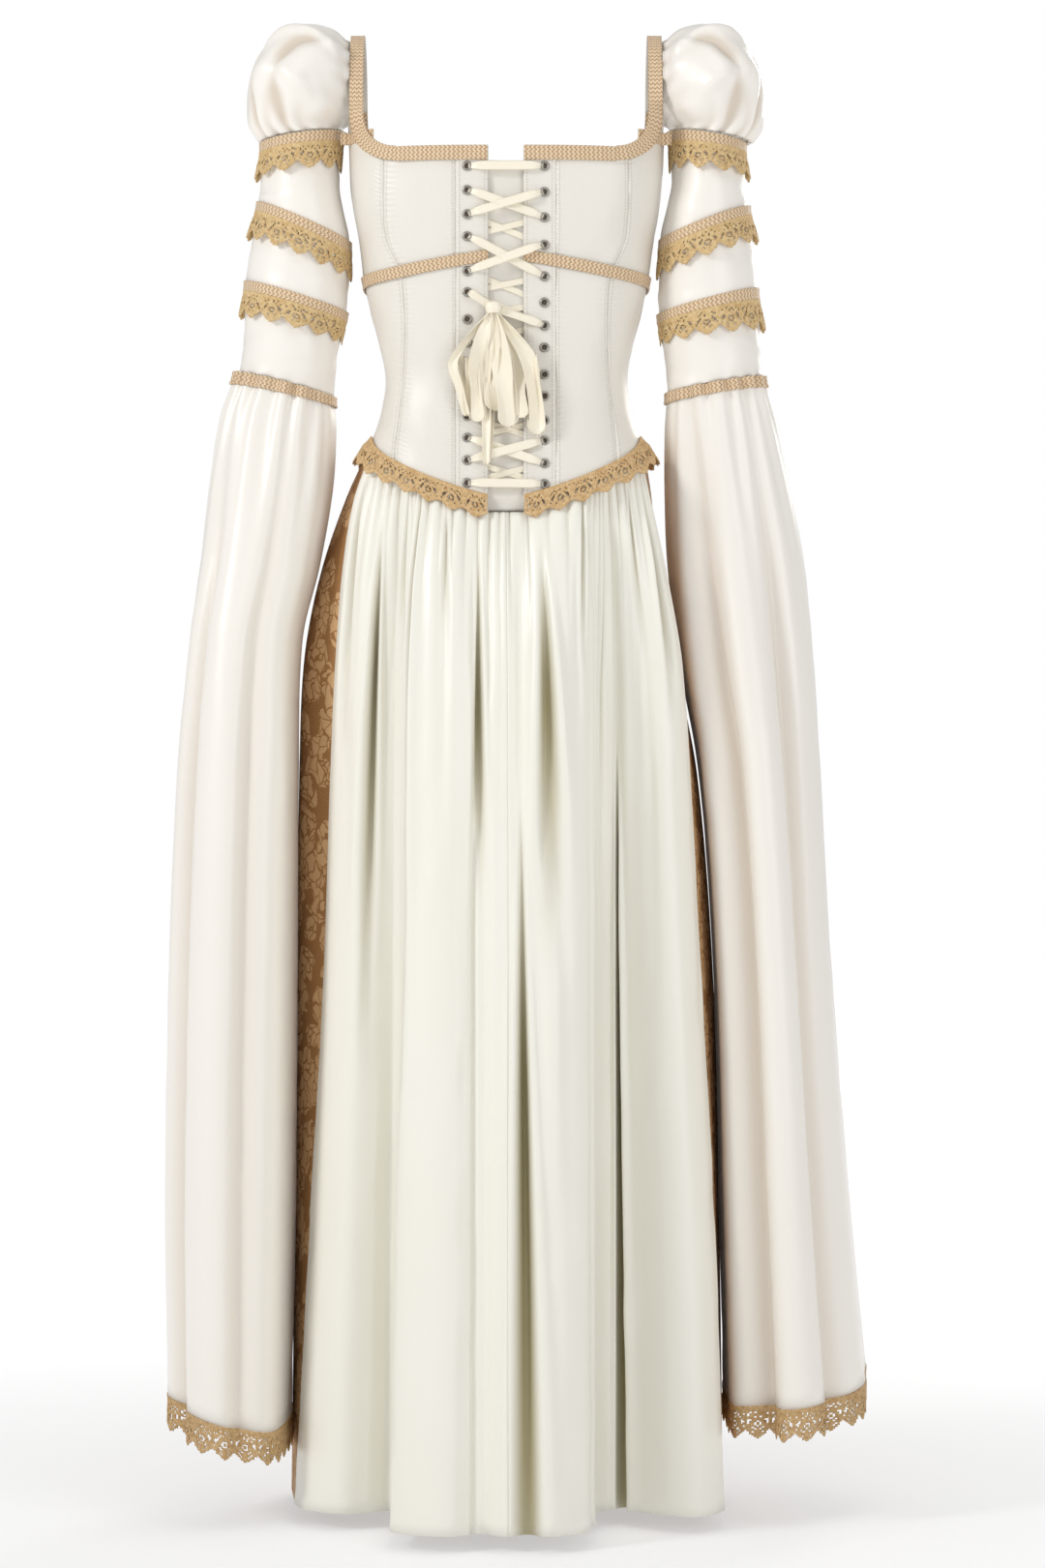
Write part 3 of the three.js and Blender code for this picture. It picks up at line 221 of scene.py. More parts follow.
class Torso:
    """The form that the bodice is cut to: points and ways out of it, in whole arrays."""

    @staticmethod
    def at(side: Array, angle: Array, z: Array) -> tuple:
        """Rounded-square plan: |x/half|^3 + |y/deep|^3 = 1, read by an angle from the back.

        Args:
            side: -1 or 1.
            angle: 0 at the middle of the back, pi at the middle of the front.
            z: height.

        Returns:
            Points and unit ways out.
        """
        half = TORSO.read(z, "half")
        deep = np.where(angle < math.pi / 2, TORSO.read(z, "back"), TORSO.read(z, "front"))
        power = 2 / TORSO_POWER
        across, along = np.abs(np.sin(angle)), np.abs(np.cos(angle))
        x = half * across**power
        y = -np.sign(np.cos(angle)) * deep * along**power
        out_x = (x / half) ** (TORSO_POWER - 1) / half
        out_y = np.sign(y) * (np.abs(y) / deep) ** (TORSO_POWER - 1) / deep
        point = xyz(side * x, y, z + 0 * x)
        return point, unit(xyz(side * out_x, out_y, 0 * x))

    @staticmethod
    def angle_by_x(x: Array, z: Array, front: Array) -> Array:
        """Angle of the point at a distance from the middle, on the back or on the front."""
        angle = np.arcsin(np.clip(np.abs(x) / TORSO.read(z, "half"), 0, 1) ** (TORSO_POWER / 2))
        return np.where(front, math.pi - angle, angle)

    def by_x(self, x: Array, z: Array, front: Array = False) -> tuple:
        """Torso point by its signed distance from the middle."""
        x, z = np.broadcast_arrays(np.asarray(x, dtype=float), np.asarray(z, dtype=float))
        return self.at(np.where(x < 0, -1.0, 1.0), self.angle_by_x(x, z, front), z)

    def label_angle(self, label: Array, z: Array) -> Array:
        """Angle of a label: 0 opening, 1 placket, 2 princess, 3 side, 4 front princess, 5 front.

        Args:
            label: the label, with shares between two of them.
            z: height.

        Returns:
            Angles.
        """
        marks = [
            self.angle_by_x(OPENING_HALF + 0 * z, z, False),
            self.angle_by_x(SEAMS.read(z, "placket"), z, False),
            self.angle_by_x(SEAMS.read(z, "princess"), z, False),
            0 * z + math.pi / 2,
            self.angle_by_x(SEAMS.read(z, "front_princess"), z, True),
            0 * z + math.pi,
        ]
        stack = np.stack(marks, axis=0)
        low = np.clip(np.floor(label).astype(int), 0, 4)
        a = np.take_along_axis(stack, low[None], 0)[0]
        b = np.take_along_axis(stack, low[None] + 1, 0)[0]
        return a + (b - a) * (label - low)

    def by_label(self, side: float, label: Array, z: Array) -> tuple:
        """Torso point by seam label."""
        label, z = np.broadcast_arrays(np.asarray(label, dtype=float), np.asarray(z, dtype=float))
        return self.at(side, self.label_angle(label, z), z)

    def x_at(self, label: Array, z: float) -> Array:
        """Distance from the middle of a label at a height."""
        return self.by_label(1, label, z + 0 * label)[0][..., 0]


TORSO_FORM = Torso()


def underbust(x: Array) -> Array:
    """Height of the underbust seam by distance from the middle."""
    return UNDERBUST_HIGH - UNDERBUST_FALL * (x - OPENING_HALF) / (SIDE_X - OPENING_HALF)


def front_neck(x: Array) -> Array:
    """Height of the front neckline by distance from the middle."""
    return NECK_TOP - 28 * ease((CORNER_X - x) / 45)


def top_edge(x: Array, front: Array) -> Array:
    """Upper edge of the bodice: level back, round corners up to the straps, low under the arm."""
    arc = STRAP_FOOT - np.sqrt(np.maximum(CORNER_RADIUS**2 - (x - CORNER_X) ** 2, 0))
    armhole = STRAP_FOOT + (ARMHOLE_LOW - STRAP_FOOT) * ease((x - 149) / 4)
    low = np.where(front, front_neck(x), NECK_TOP)
    return np.where(x <= CORNER_X, low, np.where(x < CORNER_X + CORNER_RADIUS, arc, armhole))


def basque_edge(label: Array, z: float = BASQUE_Z) -> Array:
    """Height of the bodice's lower edge at a seam label."""
    return BASQUE.read(TORSO_FORM.x_at(label, z), "z")


@dataclass(frozen=True)
class Crease:
    """One soft ridge (or trough, where high is below 0) drawn on a cloth's own flat sizes."""

    u0: float
    v0: float
    u1: float
    v1: float
    width: float
    high: float

    def relief(self, u: Array, v: Array) -> Array:
        """Bell section across the crease, fading towards both ends."""
        du, dv = self.u1 - self.u0, self.v1 - self.v0
        length = math.hypot(du, dv)
        along = ((u - self.u0) * du + (v - self.v0) * dv) / length**2
        away = ((u - self.u0) * dv - (v - self.v0) * du) / length
        bow = 0.06 * length * np.sin(math.pi * np.clip(along, 0, 1))
        fade = ease((along + 0.1) / 0.3) * ease((1.1 - along) / 0.4)
        return self.high * bump(away - bow, self.width) * fade


def creased(u: Array, v: Array, creases: tuple) -> Array:
    """Sum of all creases."""
    return sum((crease.relief(u, v) for crease in creases), 0 * u)


@dataclass
class Grid:
    """A cloth surface on a grid: points, ways out and flat coordinates in millimetres."""

    point: Array
    out: Array
    u: Array
    v: Array
    closed: bool = False
    keep: Optional[Array] = None
    edge: Optional[Array] = None
    # Painted shade between folds, from 0 to 1, which the finishes mix in as a darker colour
    painted_shade: Optional[Array] = None

    def lifted(self, high: Array) -> "Grid":
        """The same grid moved out by a height."""
        lift = np.asarray(high, dtype=float)
        lift = lift[..., None] if lift.ndim else lift
        return replace(self, point=self.point + self.out * lift)

    def flat_size(self) -> tuple:
        """Widest row, the length that a quarter of the columns pass, and area, in metres: its cut.

        Returns:
            Width, length and area.
        """
        p = np.concatenate([self.point, self.point[:1]], axis=0) if self.closed else self.point
        along = np.linalg.norm(np.diff(p, axis=0), axis=-1)
        below = np.linalg.norm(np.diff(p, axis=1), axis=-1)
        a, b = p[1:, :-1] - p[:-1, :-1], p[:-1, 1:] - p[:-1, :-1]
        area = np.linalg.norm(np.cross(a, b), axis=-1)
        if self.keep is not None:
            area = area * self.keep
        width, length = along.sum(axis=0).max() * MM, np.percentile(below.sum(axis=1), 75) * MM
        return width, length, min(area.sum() * MM * MM, width * length)

    def mesh(self, name: str, material: Material, thick: float) -> bpy.types.Object:
        """Make the object: quads of the grid, two UV maps in metres and a wall by Solidify.

        Args:
            name: the object's name.
            material: its finish.
            thick: wall in millimetres; 0 leaves the sheet single.

        Returns:
            The object, linked to the scene.
        """
        columns, rows = self.u.shape
        last = columns if self.closed else columns - 1
        i, j = np.meshgrid(np.arange(last), np.arange(rows - 1), indexing="ij")
        if self.keep is not None:
            chosen = self.keep[:last].astype(bool)
            i, j = i[chosen], j[chosen]
        i, j = i.ravel(), j.ravel()
        corner_i, corner_j = np.stack([i, i + 1, i + 1, i], 1), np.stack([j, j, j + 1, j + 1], 1)
        faces = (corner_i % columns) * rows + corner_j
        a = self.point[1, 0] - self.point[0, 0]
        b = self.point[0, 1] - self.point[0, 0]
        if np.dot(np.cross(a, b), self.out[0, 0]) < 0:
            faces, corner_i, corner_j = faces[:, ::-1], corner_i[:, ::-1], corner_j[:, ::-1]
        used, inverse = np.unique(faces, return_inverse=True)
        verts = (self.point.reshape(-1, 3)[used]) * MM
        mesh = bpy.data.meshes.new(f"{name}_cloth")
        mesh.from_pydata(verts.tolist(), [], inverse.reshape(faces.shape).tolist())
        self.add_layers(mesh, (corner_i, corner_j), used)
        mesh.materials.append(material)
        mesh.shade_smooth()
        mesh.update()
        item = bpy.data.objects.new(f"{name}_cloth", mesh)
        bpy.context.scene.collection.objects.link(item)
        if thick > 0:
            add_wall(item, thick)
        return item

    def add_layers(self, mesh: bpy.types.Mesh, corners: tuple, used: Array) -> None:
        """Give a mesh its two UV maps in metres and its attribute of painted shade between folds.

        Args:
            mesh: the mesh.
            corners: column and row of every face's corners.
            used: numbers of the grid's points that the mesh has.
        """
        step = self.u[1:2] - self.u[:1]
        wide_u = np.concatenate([self.u, self.u[-1:] + step], axis=0)
        wide_v = np.concatenate([self.v, self.v[:1]], axis=0)
        flat = np.stack([wide_u[corners], wide_v[corners]], axis=-1) * MM
        mesh.uv_layers.new(name="cloth").data.foreach_set("uv", flat.ravel())
        edge = np.full(self.u.shape, NO_SEAM) if self.edge is None else self.edge
        wide_edge = np.concatenate([edge, edge[:1]], axis=0)
        seam = np.stack([wide_edge[corners] * MM, flat[..., 1]], axis=-1)
        mesh.uv_layers.new(name="seam").data.foreach_set("uv", seam.ravel())
        # Painted shade between folds, kept on each point
        painted_shade = np.zeros(self.u.shape) if self.painted_shade is None else np.clip(self.painted_shade, 0, 1)
        mesh.attributes.new("painted_shade", "FLOAT", "POINT").data.foreach_set("value", painted_shade.ravel()[used])


def add_wall(item: bpy.types.Object, thick: float) -> None:
    """Give a sheet a wall by Solidify, half on each side; thick is in millimetres."""
    wall = item.modifiers.new("wall", "SOLIDIFY")
    wall.thickness = thick * MM
    wall.offset = 0.0


def spread_grid(surface: Surface, u: Array, v: Array, closed: bool = False) -> Grid:
    """Run a surface of two parameters over a grid and measure its flat coordinates.

    Args:
        surface: gives points and ways out for two arrays.
        u: values across.
        v: values down.
        closed: whether the last column joins the first.

    Returns:
        The grid, with u and v as lengths along the cloth.
    """
    across, down = np.meshgrid(u, v, indexing="ij")
    point, out = surface(across, down)
    wide = np.linalg.norm(np.diff(point, axis=0), axis=-1).mean(axis=1)
    deep = np.linalg.norm(np.diff(point, axis=1), axis=-1).mean(axis=0)
    flat_u = np.concatenate([[0], np.cumsum(wide)])[:, None] + 0 * down
    flat_v = np.concatenate([[0], np.cumsum(deep)])[None, :] + 0 * down
    return Grid(point, out, flat_u, flat_v, closed)


def fixed_grid(point: Array, out: Array, u: Array, v: Array) -> Grid:
    """Grid of points that are made already."""
    return spread_grid(lambda across, down: (point, out), u, v)


def grid_out(point: Array, rough: Array) -> Array:
    """Ways out of a surface from the steps of its own grid, level, on the side of a rough way."""
    along, below = np.gradient(point, axis=0), np.gradient(point, axis=1)
    out = unit(np.cross(along, below))
    out = np.where((out * rough).sum(-1, keepdims=True) < 0, -out, out)
    out[..., 2] *= 0.0
    return unit(out)


# Materials


def srgb(code: str) -> tuple:
    """Linear colour of an sRGB hex value."""
    parts = [int(code[i : i + 2], 16) / 255 for i in (1, 3, 5)]
    return tuple(c / 12.92 if c <= 0.04045 else ((c + 0.055) / 1.055) ** 2.4 for c in parts) + (1.0,)


class NodeSheet:
    """A node tree under a Principled shader, with helpers that add nodes."""

    def __init__(self, name: str) -> None:
        """Start an empty material with its shader and output."""
        self.material = bpy.data.materials.new(name)
        self.material.use_nodes = True
        self.tree = self.material.node_tree
        self.tree.nodes.clear()
        self.shader = self.tree.nodes.new("ShaderNodeBsdfPrincipled")
        output = self.tree.nodes.new("ShaderNodeOutputMaterial")
        self.tree.links.new(self.shader.outputs[0], output.inputs[0])

    def add(self, kind: str, settings: Optional[dict] = None, **links: object) -> bpy.types.Node:
        """Add a node with its settings and its inputs.

        Args:
            kind: the node type after "ShaderNode".
            settings: attributes of the node.
            links: input names (spaces as underscores, or i0, i1 by number) to sockets or values.

        Returns:
            The node.
        """
        node = self.tree.nodes.new("ShaderNode" + kind)
        for key, value in (settings or {}).items():
            setattr(node, key, value)
        for key, value in links.items():
            number = key[0] == "i" and key[1:].isdigit()
            socket = node.inputs[int(key[1:])] if number else node.inputs[key.replace("_", " ")]
            self.join(socket, value)
        return node

    def join(self, socket: Socket, value: object) -> None:
        """Set a socket, or link it to another one."""
        if isinstance(value, Socket):
            self.tree.links.new(value, socket)
        else:
            socket.default_value = value

    def feed(self, name: str, value: object) -> None:
        """Set a socket of the shader, or link it."""
        self.join(self.shader.inputs[name], value)

    def math(self, operation: str, a: object, b: object = 0.0) -> Socket:
        """One sum on two values."""
        return self.add("Math", {"operation": operation}, i0=a, i1=b).outputs[0]

    def times(self, a: object, b: object) -> Socket:
        """Product of two values."""
        return self.math("MULTIPLY", a, b)

    def plus(self, a: object, b: object) -> Socket:
        """Sum of two values."""
        return self.math("ADD", a, b)

    def minus(self, a: object, b: object) -> Socket:
        """Difference of two values."""
        return self.math("SUBTRACT", a, b)

    def blend(self, share: object, a: object, b: object) -> Socket:
        """Mix of two colours."""
        return self.add("Mix", {"data_type": "RGBA"}, i0=share, i6=a, i7=b).outputs[2]

    def layer(self, name: str) -> Socket:
        """Coordinates of a UV map, in metres."""
        return self.add("UVMap", {"uv_map": name}).outputs[0]

    def noise(self, place: Socket, scale: float, detail: float = 2.0, output: int = 0) -> Socket:
        """Soft noise: its value, or its colour as output 1."""
        return self.add("TexNoise", None, Vector=place, Scale=scale, Detail=detail).outputs[output]

    def painted_shade(self) -> Socket:
        """Painted shade: how deep a place lies between folds, from 0 to 1."""
        return self.add("Attribute", {"attribute_name": "painted_shade"}).outputs[2]

    def finished(self, colour: Socket, roughness: float, relief: tuple) -> Material:
        """Feed colour, roughness and bump to the shader.

        Args:
            colour: base colour.
            roughness: roughness of the surface.
            relief: height, strength and distance of the bump.

        Returns:
            The material.
        """
        high, strength, distance = relief
        bump_node = self.add("Bump", None, Strength=strength, Distance=distance, Height=high)
        self.feed("Base Color", colour)
        self.feed("Roughness", roughness)
        self.feed("Normal", bump_node.outputs[0])
        return self.material


# Scale of the satin's wave texture: threads of 0.3 mm would not show, so they are drawn at 1.8 mm
THREAD_SCALE = 1000 / 5.6


@dataclass(frozen=True)
class Satin:
    """Polyester satin: a smooth woven face with a soft gloss along the warp, a faint crumple and shade
    painted between folds.
    """

    name: str
    colour: str
    shade: str
    # Colour of the shade painted between folds
    valley: str
    roughness: float = 0.36
    crumple_mm: float = 55.0
    crumple: float = 0.35
    stitched: bool = False

    def build(self) -> Material:
        """Colour drifts a little at random, shade is painted between folds, and bump has crumple and thread.
        """
        sheet = NodeSheet(self.name)
        cloth = sheet.layer("cloth")
        stretched = sheet.add("Mapping", None, Vector=cloth, Scale=(1.0, 0.45, 1.0)).outputs[0]
        drift = sheet.times(sheet.noise(stretched, 9.0), 0.45)
        colour = sheet.blend(drift, srgb(self.colour), srgb(self.shade))
        soft = sheet.noise(stretched, 1000 / self.crumple_mm, 4.0)
        bands = {"wave_type": "BANDS"}
        thread = sheet.add("TexWave", bands, Vector=cloth, Scale=THREAD_SCALE, Distortion=1.5)
        high = sheet.plus(soft, sheet.times(thread.outputs[1], 0.012))
        if self.stitched:
            colour, high = self.stitches(sheet, colour, soft, high)
        # Painted shade: the valley colour where the cloth lies deep between folds
        colour = sheet.blend(sheet.painted_shade(), colour, srgb(self.valley))
        sheet.feed("Specular IOR Level", 0.5)
        sheet.feed("Sheen Weight", 0.25)
        sheet.feed("Sheen Roughness", 0.35)
        return sheet.finished(colour, self.roughness, (high, self.crumple, 0.0035))

    @staticmethod
    def stitches(sheet: NodeSheet, colour: Socket, soft: Socket, high: Socket) -> tuple:
        """A row of stitches on each side of a seam, and pucker ribs that run out from it.

        Args:
            sheet: the satin's node tree.
            colour: its colour so far.
            soft: its crumple, which bends the ribs.
            high: its height so far.

        Returns:
            The colour and the height with the stitches and ribs.
        """
        seam = sheet.add("SeparateXYZ", None, i0=sheet.layer("seam")).outputs
        inset, half, per_metre, drawn = 0.0035, 0.0007, 350.0, 0.62
        line = sheet.math("LESS_THAN", sheet.math("ABSOLUTE", sheet.minus(seam[0], inset)), half)
        dash = sheet.math("LESS_THAN", sheet.math("FRACT", sheet.times(seam[1], per_metre)), drawn)
        stitch = sheet.times(sheet.times(line, dash), 0.4)
        high = sheet.minus(high, sheet.times(line, 0.25))
        ribs = sheet.math("SINE", sheet.plus(sheet.times(seam[1], 1250.0), sheet.times(soft, 9.0)))
        near = sheet.add("MapRange", None, Value=seam[0], i1=0.016, i2=0.004, i3=0.0, i4=0.1).outputs[0]
        return sheet.blend(stitch, colour, srgb("#b9ae97")), sheet.plus(high, sheet.times(ribs, near))


@dataclass(frozen=True)
class BraidFinish:
    """Woven braid of matt gold viscose: light ribs, with shade painted dark between the plaits."""

    name: str
    light: str
    # Colour where the plait dips: painted shade
    dark: str
    pitch_mm: float = 4.3
    row_mm: float = 4.67

    def build(self) -> Material:
        """Herringbone: ribs along the braid whose phase swings to and fro across it, in rows."""
        sheet = NodeSheet(self.name)
        cloth = sheet.layer("cloth")
        flat = sheet.add("SeparateXYZ", None, i0=cloth).outputs
        swing = sheet.math("PINGPONG", flat[1], self.row_mm * MM / 2)
        phase = sheet.times(sheet.plus(flat[0], swing), TURN / (self.pitch_mm * MM))
        rib = sheet.plus(sheet.times(sheet.math("SINE", phase), 0.5), 0.5)
        row = sheet.math("SINE", sheet.times(swing, TURN / (self.row_mm * MM)))
        plait = sheet.times(rib, sheet.plus(sheet.times(row, 0.45), 0.55))
        share = sheet.times(sheet.plus(plait, sheet.times(sheet.noise(cloth, 900.0), 0.5)), 1.05)
        sheet.feed("Sheen Weight", 0.2)
        # Painted shade: dark where the plait dips, light on the ribs, with a little random tone
        colour = sheet.blend(share, srgb(self.dark), srgb(self.light))
        return sheet.finished(colour, 0.55, (share, 0.6, 0.0008))


@dataclass(frozen=True)
class GuipureFinish:
    """Cotton guipure: thick embroidered thread, matt, with shade painted in the hollows."""

    name: str
    light: str
    # Colour where the thread dips: painted shade
    dark: str

    def build(self) -> Material:
        """Fine uneven thread grain over small cells, with shade painted where the thread dips."""
        sheet = NodeSheet(self.name)
        cloth = sheet.layer("cloth")
        cells = sheet.add("TexVoronoi", None, Vector=cloth, Scale=260.0).outputs[0]
        share = sheet.minus(sheet.times(sheet.noise(cloth, 520.0, 3.0), 1.3), sheet.times(cells, 0.5))
        # Painted shade: the dark colour where the thread's relief is low, mixed with random grain
        colour = sheet.blend(share, srgb(self.dark), srgb(self.light))
        return sheet.finished(colour, 0.8, (share, 0.5, 0.0006))


@dataclass(frozen=True)
class FloralFinish:
    """Raschel floral lace on a tan lining: pale corded flowers and leaves on a brown net."""

    name: str
    ground: str
    # Colour of the net's dark threads, and of the shade painted between folds
    deep: str
    motif: str
    pale: str
    petal_mm: float = 30.0

    def cells(self, sheet: NodeSheet, feature: str, place: Socket, count: float) -> Socket:
        """Cells, so many to the width of a petal."""
        scale = 1000 * count / self.petal_mm
        return sheet.add("TexVoronoi", {"feature": feature}, Vector=place, Scale=scale).outputs[0]

    def build(self) -> Material:
        """Warped cells give flowers and leaves; their rims are pale cords and the rest is net; shade is
        painted between folds.
        """
        sheet = NodeSheet(self.name)
        cloth = sheet.layer("cloth")
        warp = sheet.noise(cloth, 42.0, 1.0, 1)
        moved = sheet.add("VectorMath", {"operation": "SCALE"}, i0=warp, i3=0.03).outputs[0]
        place = sheet.add("VectorMath", {"operation": "ADD"}, i0=cloth, i1=moved).outputs[0]
        body = sheet.math("LESS_THAN", self.cells(sheet, "F1", place, 1), 0.6)
        rim = sheet.math("GREATER_THAN", self.cells(sheet, "DISTANCE_TO_EDGE", place, 2.2), 0.05)
        motif = sheet.times(body, rim)
        net = sheet.add("TexWave", {"wave_type": "RINGS"}, Vector=cloth, Scale=210.0, Distortion=4.0)
        ground = sheet.blend(net.outputs[1], srgb(self.deep), srgb(self.ground))
        figure = sheet.blend(sheet.noise(cloth, 30.0), srgb(self.motif), srgb(self.pale))
        unshaded_lace = sheet.blend(motif, ground, figure)
        # Painted shade: the deep colour mixed in between folds and gathers
        colour = sheet.blend(sheet.times(sheet.painted_shade(), 0.7), unshaded_lace, srgb(self.deep))
        high = sheet.plus(motif, sheet.times(net.outputs[1], 0.25))
        return sheet.finished(colour, 0.75, (high, 0.7, 0.0012))


@dataclass(frozen=True)
class Nickel:
    """Nickel-plated brass eyelet: bright, slightly warm, finely scuffed."""

    name: str
    colour: str = "#aaa69e"

    def build(self) -> Material:
        """Metal with a little uneven roughness."""
        sheet = NodeSheet(self.name)
        scuff = sheet.noise(sheet.add("TexCoord").outputs[3], 900.0)
        sheet.feed("Base Color", srgb(self.colour))
        sheet.feed("Metallic", 1.0)
        sheet.feed("Roughness", sheet.plus(sheet.times(scuff, 0.2), 0.28))
        return sheet.material


@dataclass(frozen=True)
class Plain:
    """A matt surface: the floor, and the painted shade disc in each eyelet."""

    name: str
    colour: str
    glow_from: float = 0.0

    def build(self) -> Material:
        """One colour with a faint grain, or a backdrop that turns to even white off its middle."""
        sheet = NodeSheet(self.name)
        place = sheet.add("TexCoord").outputs[3]
        sheet.feed("Roughness", 0.9)
        if self.glow_from > 0:
            span = sheet.add("VectorMath", {"operation": "LENGTH"}, i0=place).outputs[1]
            share = sheet.math("DIVIDE", sheet.minus(span, self.glow_from), 1.2)
            clear = sheet.math("MINIMUM", sheet.math("MAXIMUM", share, 0.0), 1.0)
            sheet.feed("Emission Color", srgb("#ffffff"))
            sheet.feed("Emission Strength", clear)
            sheet.feed("Base Color", sheet.blend(clear, srgb(self.colour), srgb("#000000")))
        else:
            grain = sheet.times(sheet.noise(place, 60.0), 0.1)
            sheet.feed("Base Color", sheet.blend(grain, srgb(self.colour), srgb("#d0d0d0")))
        return sheet.material


@dataclass(frozen=True)
class Cloth:
    """One kind of cloth: its built finish, its slot in the record and how it is held."""

    finish: Material
    slot: Slot
    held: Held

    def sew(self, grid: Grid, name: str, thick: float, alone: bool = False) -> None:
        """Make a piece, hang it on the root body and hide the node that it stands for.

        Args:
            grid: its shape.
            name: the node that it replaces.
            thick: its wall in millimetres.
            alone: whether it stands for no node.
        """
        item = grid.mesh(name, self.finish, thick)
        if not alone:
            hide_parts(name)
        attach(item, "root")


# A satin's third colour is the shade painted between its folds
CLOTHS = {
    "bodice": (
        Satin("satin_bodice", "#eae6de", "#e0dace", "#c9bc9c", 0.4, 42.0, 0.5, True),
        Slot.BODICE, Held.STRETCHED,
    ),
    "skirt": (
        Satin("satin_skirt", "#f5f3ea", "#e9e5d4", "#aca27c", 0.34, 60.0, 0.5),
        Slot.SKIRT, Held.GATHERED,
    ),
    "sleeve": (
        Satin("satin_sleeve", "#f5f1ea", "#ece6dc", "#d0c0ac", 0.34, 60.0, 0.5),
        Slot.SLEEVE, Held.GATHERED,
    ),
    "ribbon": (
        Satin("satin_ribbon", "#f8f1e0", "#efe2c0", "#cdb57c", 0.36, 18.0, 0.35),
        Slot.RIBBON, Held.HUNG,
    ),
    "braid": (BraidFinish("gold_braid", "#ecd3b0", "#93693c"), Slot.BRAID, Held.STRETCHED),
    "guipure": (GuipureFinish("guipure_gold", "#ecd5a6", "#bd9860"), Slot.GUIPURE, Held.HUNG),
    "waist": (GuipureFinish("guipure_waist", "#ecd2a4", "#b98f5a"), Slot.GUIPURE, Held.HUNG),
    "hem": (GuipureFinish("guipure_hem", "#dcc092", "#a88150"), Slot.GUIPURE, Held.HUNG),
    "floral": (
        FloralFinish("floral_lace", "#b58650", "#8c5e34", "#cca271", "#d8b183"),
        Slot.FLORAL, Held.GATHERED,
    ),
}


@dataclass(frozen=True)
class Finishes:
    """Every cloth of the dress, and the finishes of what is not cloth."""

    bodice: Cloth
    skirt: Cloth
    sleeve: Cloth
    ribbon: Cloth
    braid: Cloth
    guipure: Cloth
    waist: Cloth
    hem: Cloth
    floral: Cloth
    nickel: Material
    hole: Material
    floor: Material

    @classmethod
    def built(cls) -> "Finishes":
        """Build every finish once."""
        cloths = {word: Cloth(finish.build(), slot, held) for word, (finish, slot, held) in CLOTHS.items()}
        nickel = Nickel("nickel_eyelet").build()
        # The eyelet's dark disc is painted shade
        hole, floor = Plain("eyelet_hole", "#4a3c30").build(), Plain("pale_floor", "#fafafa", 0.9).build()
        return cls(nickel=nickel, hole=hole, floor=floor, **cloths)


# Lace and braid relief


@dataclass(frozen=True)
class LacePattern:
    """Sizes of a guipure lace's threads and motifs in millimetres."""

    header: float = 3.2
    rim: float = 3.0
    flower: float = 4.6
    flower_half: float = 1.3
    eye: float = 1.7
    bar_half: float = 1.5
    arc_half: float = 1.2
    net: float = 5.0
    net_half: float = 0.85

    def thread(self, u: Array, v: Array, drop: Array, pitch: float) -> tuple:
        """Openwork: a header bar, a ring motif in each scallop and a picot rim.

        Args:
            u: length along the lace.
            v: depth below its top edge.
            drop: depth of the lace at this place.
            pitch: width of a scallop.

        Returns:
            Which quads are thread, and how high the thread stands.
        """
        x = ((u / pitch) % 1.0 - 0.5) * pitch
        deep = np.maximum(drop, 1)
        ring = np.hypot(x, (v - 0.52 * deep.max()) * 1.1)
        header, rim = v < self.header, drop - v < self.rim
        fan = np.abs(((np.arctan2(x, v - 2) / 0.42) + 0.5) % 1.0 - 0.5) < 0.27
        flower = (np.abs(ring - self.flower) < self.flower_half) | (ring < self.eye)
        side = np.abs(np.abs(x) - pitch / 2) < self.bar_half
        arc = np.abs(np.hypot(x, v - 3.0) - 0.72 * deep) < self.arc_half
        slants = (np.abs((u + way * v) % self.net - self.net / 2) < self.net_half for way in (1, -1))
        lattice = np.logical_or(*slants) & (v < 0.45 * deep)
        thread = header | rim | flower | side | arc | (fan & (ring > 5)) | lattice
        return thread & (v <= drop + 0.01), 0.35 * header + 0.5 * rim + 0.6 * flower + 0.4 * arc


def scallop_drop(u: Array, pitch: float, drop: float, depth: float) -> Array:
    """Depth of a lace with pointed scallops that have small picots on their sides."""
    phase = np.abs((u / pitch) % 1.0 - 0.5) * 2
    picot = 0.8 * np.abs(np.sin(u / pitch * math.pi * 6))
    return drop - depth * phase**1.15 - picot


def braid_relief(u: Array, width: float, v: Array) -> Array:
    """Plait of a braid: two slanted rib sets and a corded rim on both edges."""
    along, across, inset = u / PLAIT_STEP, v / PLAIT_ROW, 1.2
    plait = np.sin(TURN * (along + across)) * np.sin(TURN * (along - across))
    return 0.35 * (plait + bump(v - inset, 1.0) + bump(v - (width - inset), 1.0))


@dataclass(frozen=True)
class Scallops:
    """A scalloped lace: full depth, wished width and depth of a scallop, and lift over its host."""

    full: float
    pitch: float
    depth: float
    lift: float
    thick: float = 1.1

    def sew(self, cloth: Cloth, grid: Grid, name: str) -> None:
        """Cut a grid to scallops, open its holes and make the piece.

        Args:
            cloth: the lace's cloth.
            grid: the lace's ground, top row first.
            name: node that it replaces.
        """
        length = grid.u.max()
        step = length / max(round(length / self.pitch), 1)
        drop = scallop_drop(grid.u, step, self.full, self.depth)
        thread, high = LacePattern().thread(grid.u, grid.v / grid.v.max() * self.full, drop, step)
        grid = grid.lifted(self.lift + high)
        grid.keep = thread[: grid.u.shape[0] if grid.closed else -1, :-1]
        cloth.sew(grid, name, self.thick)


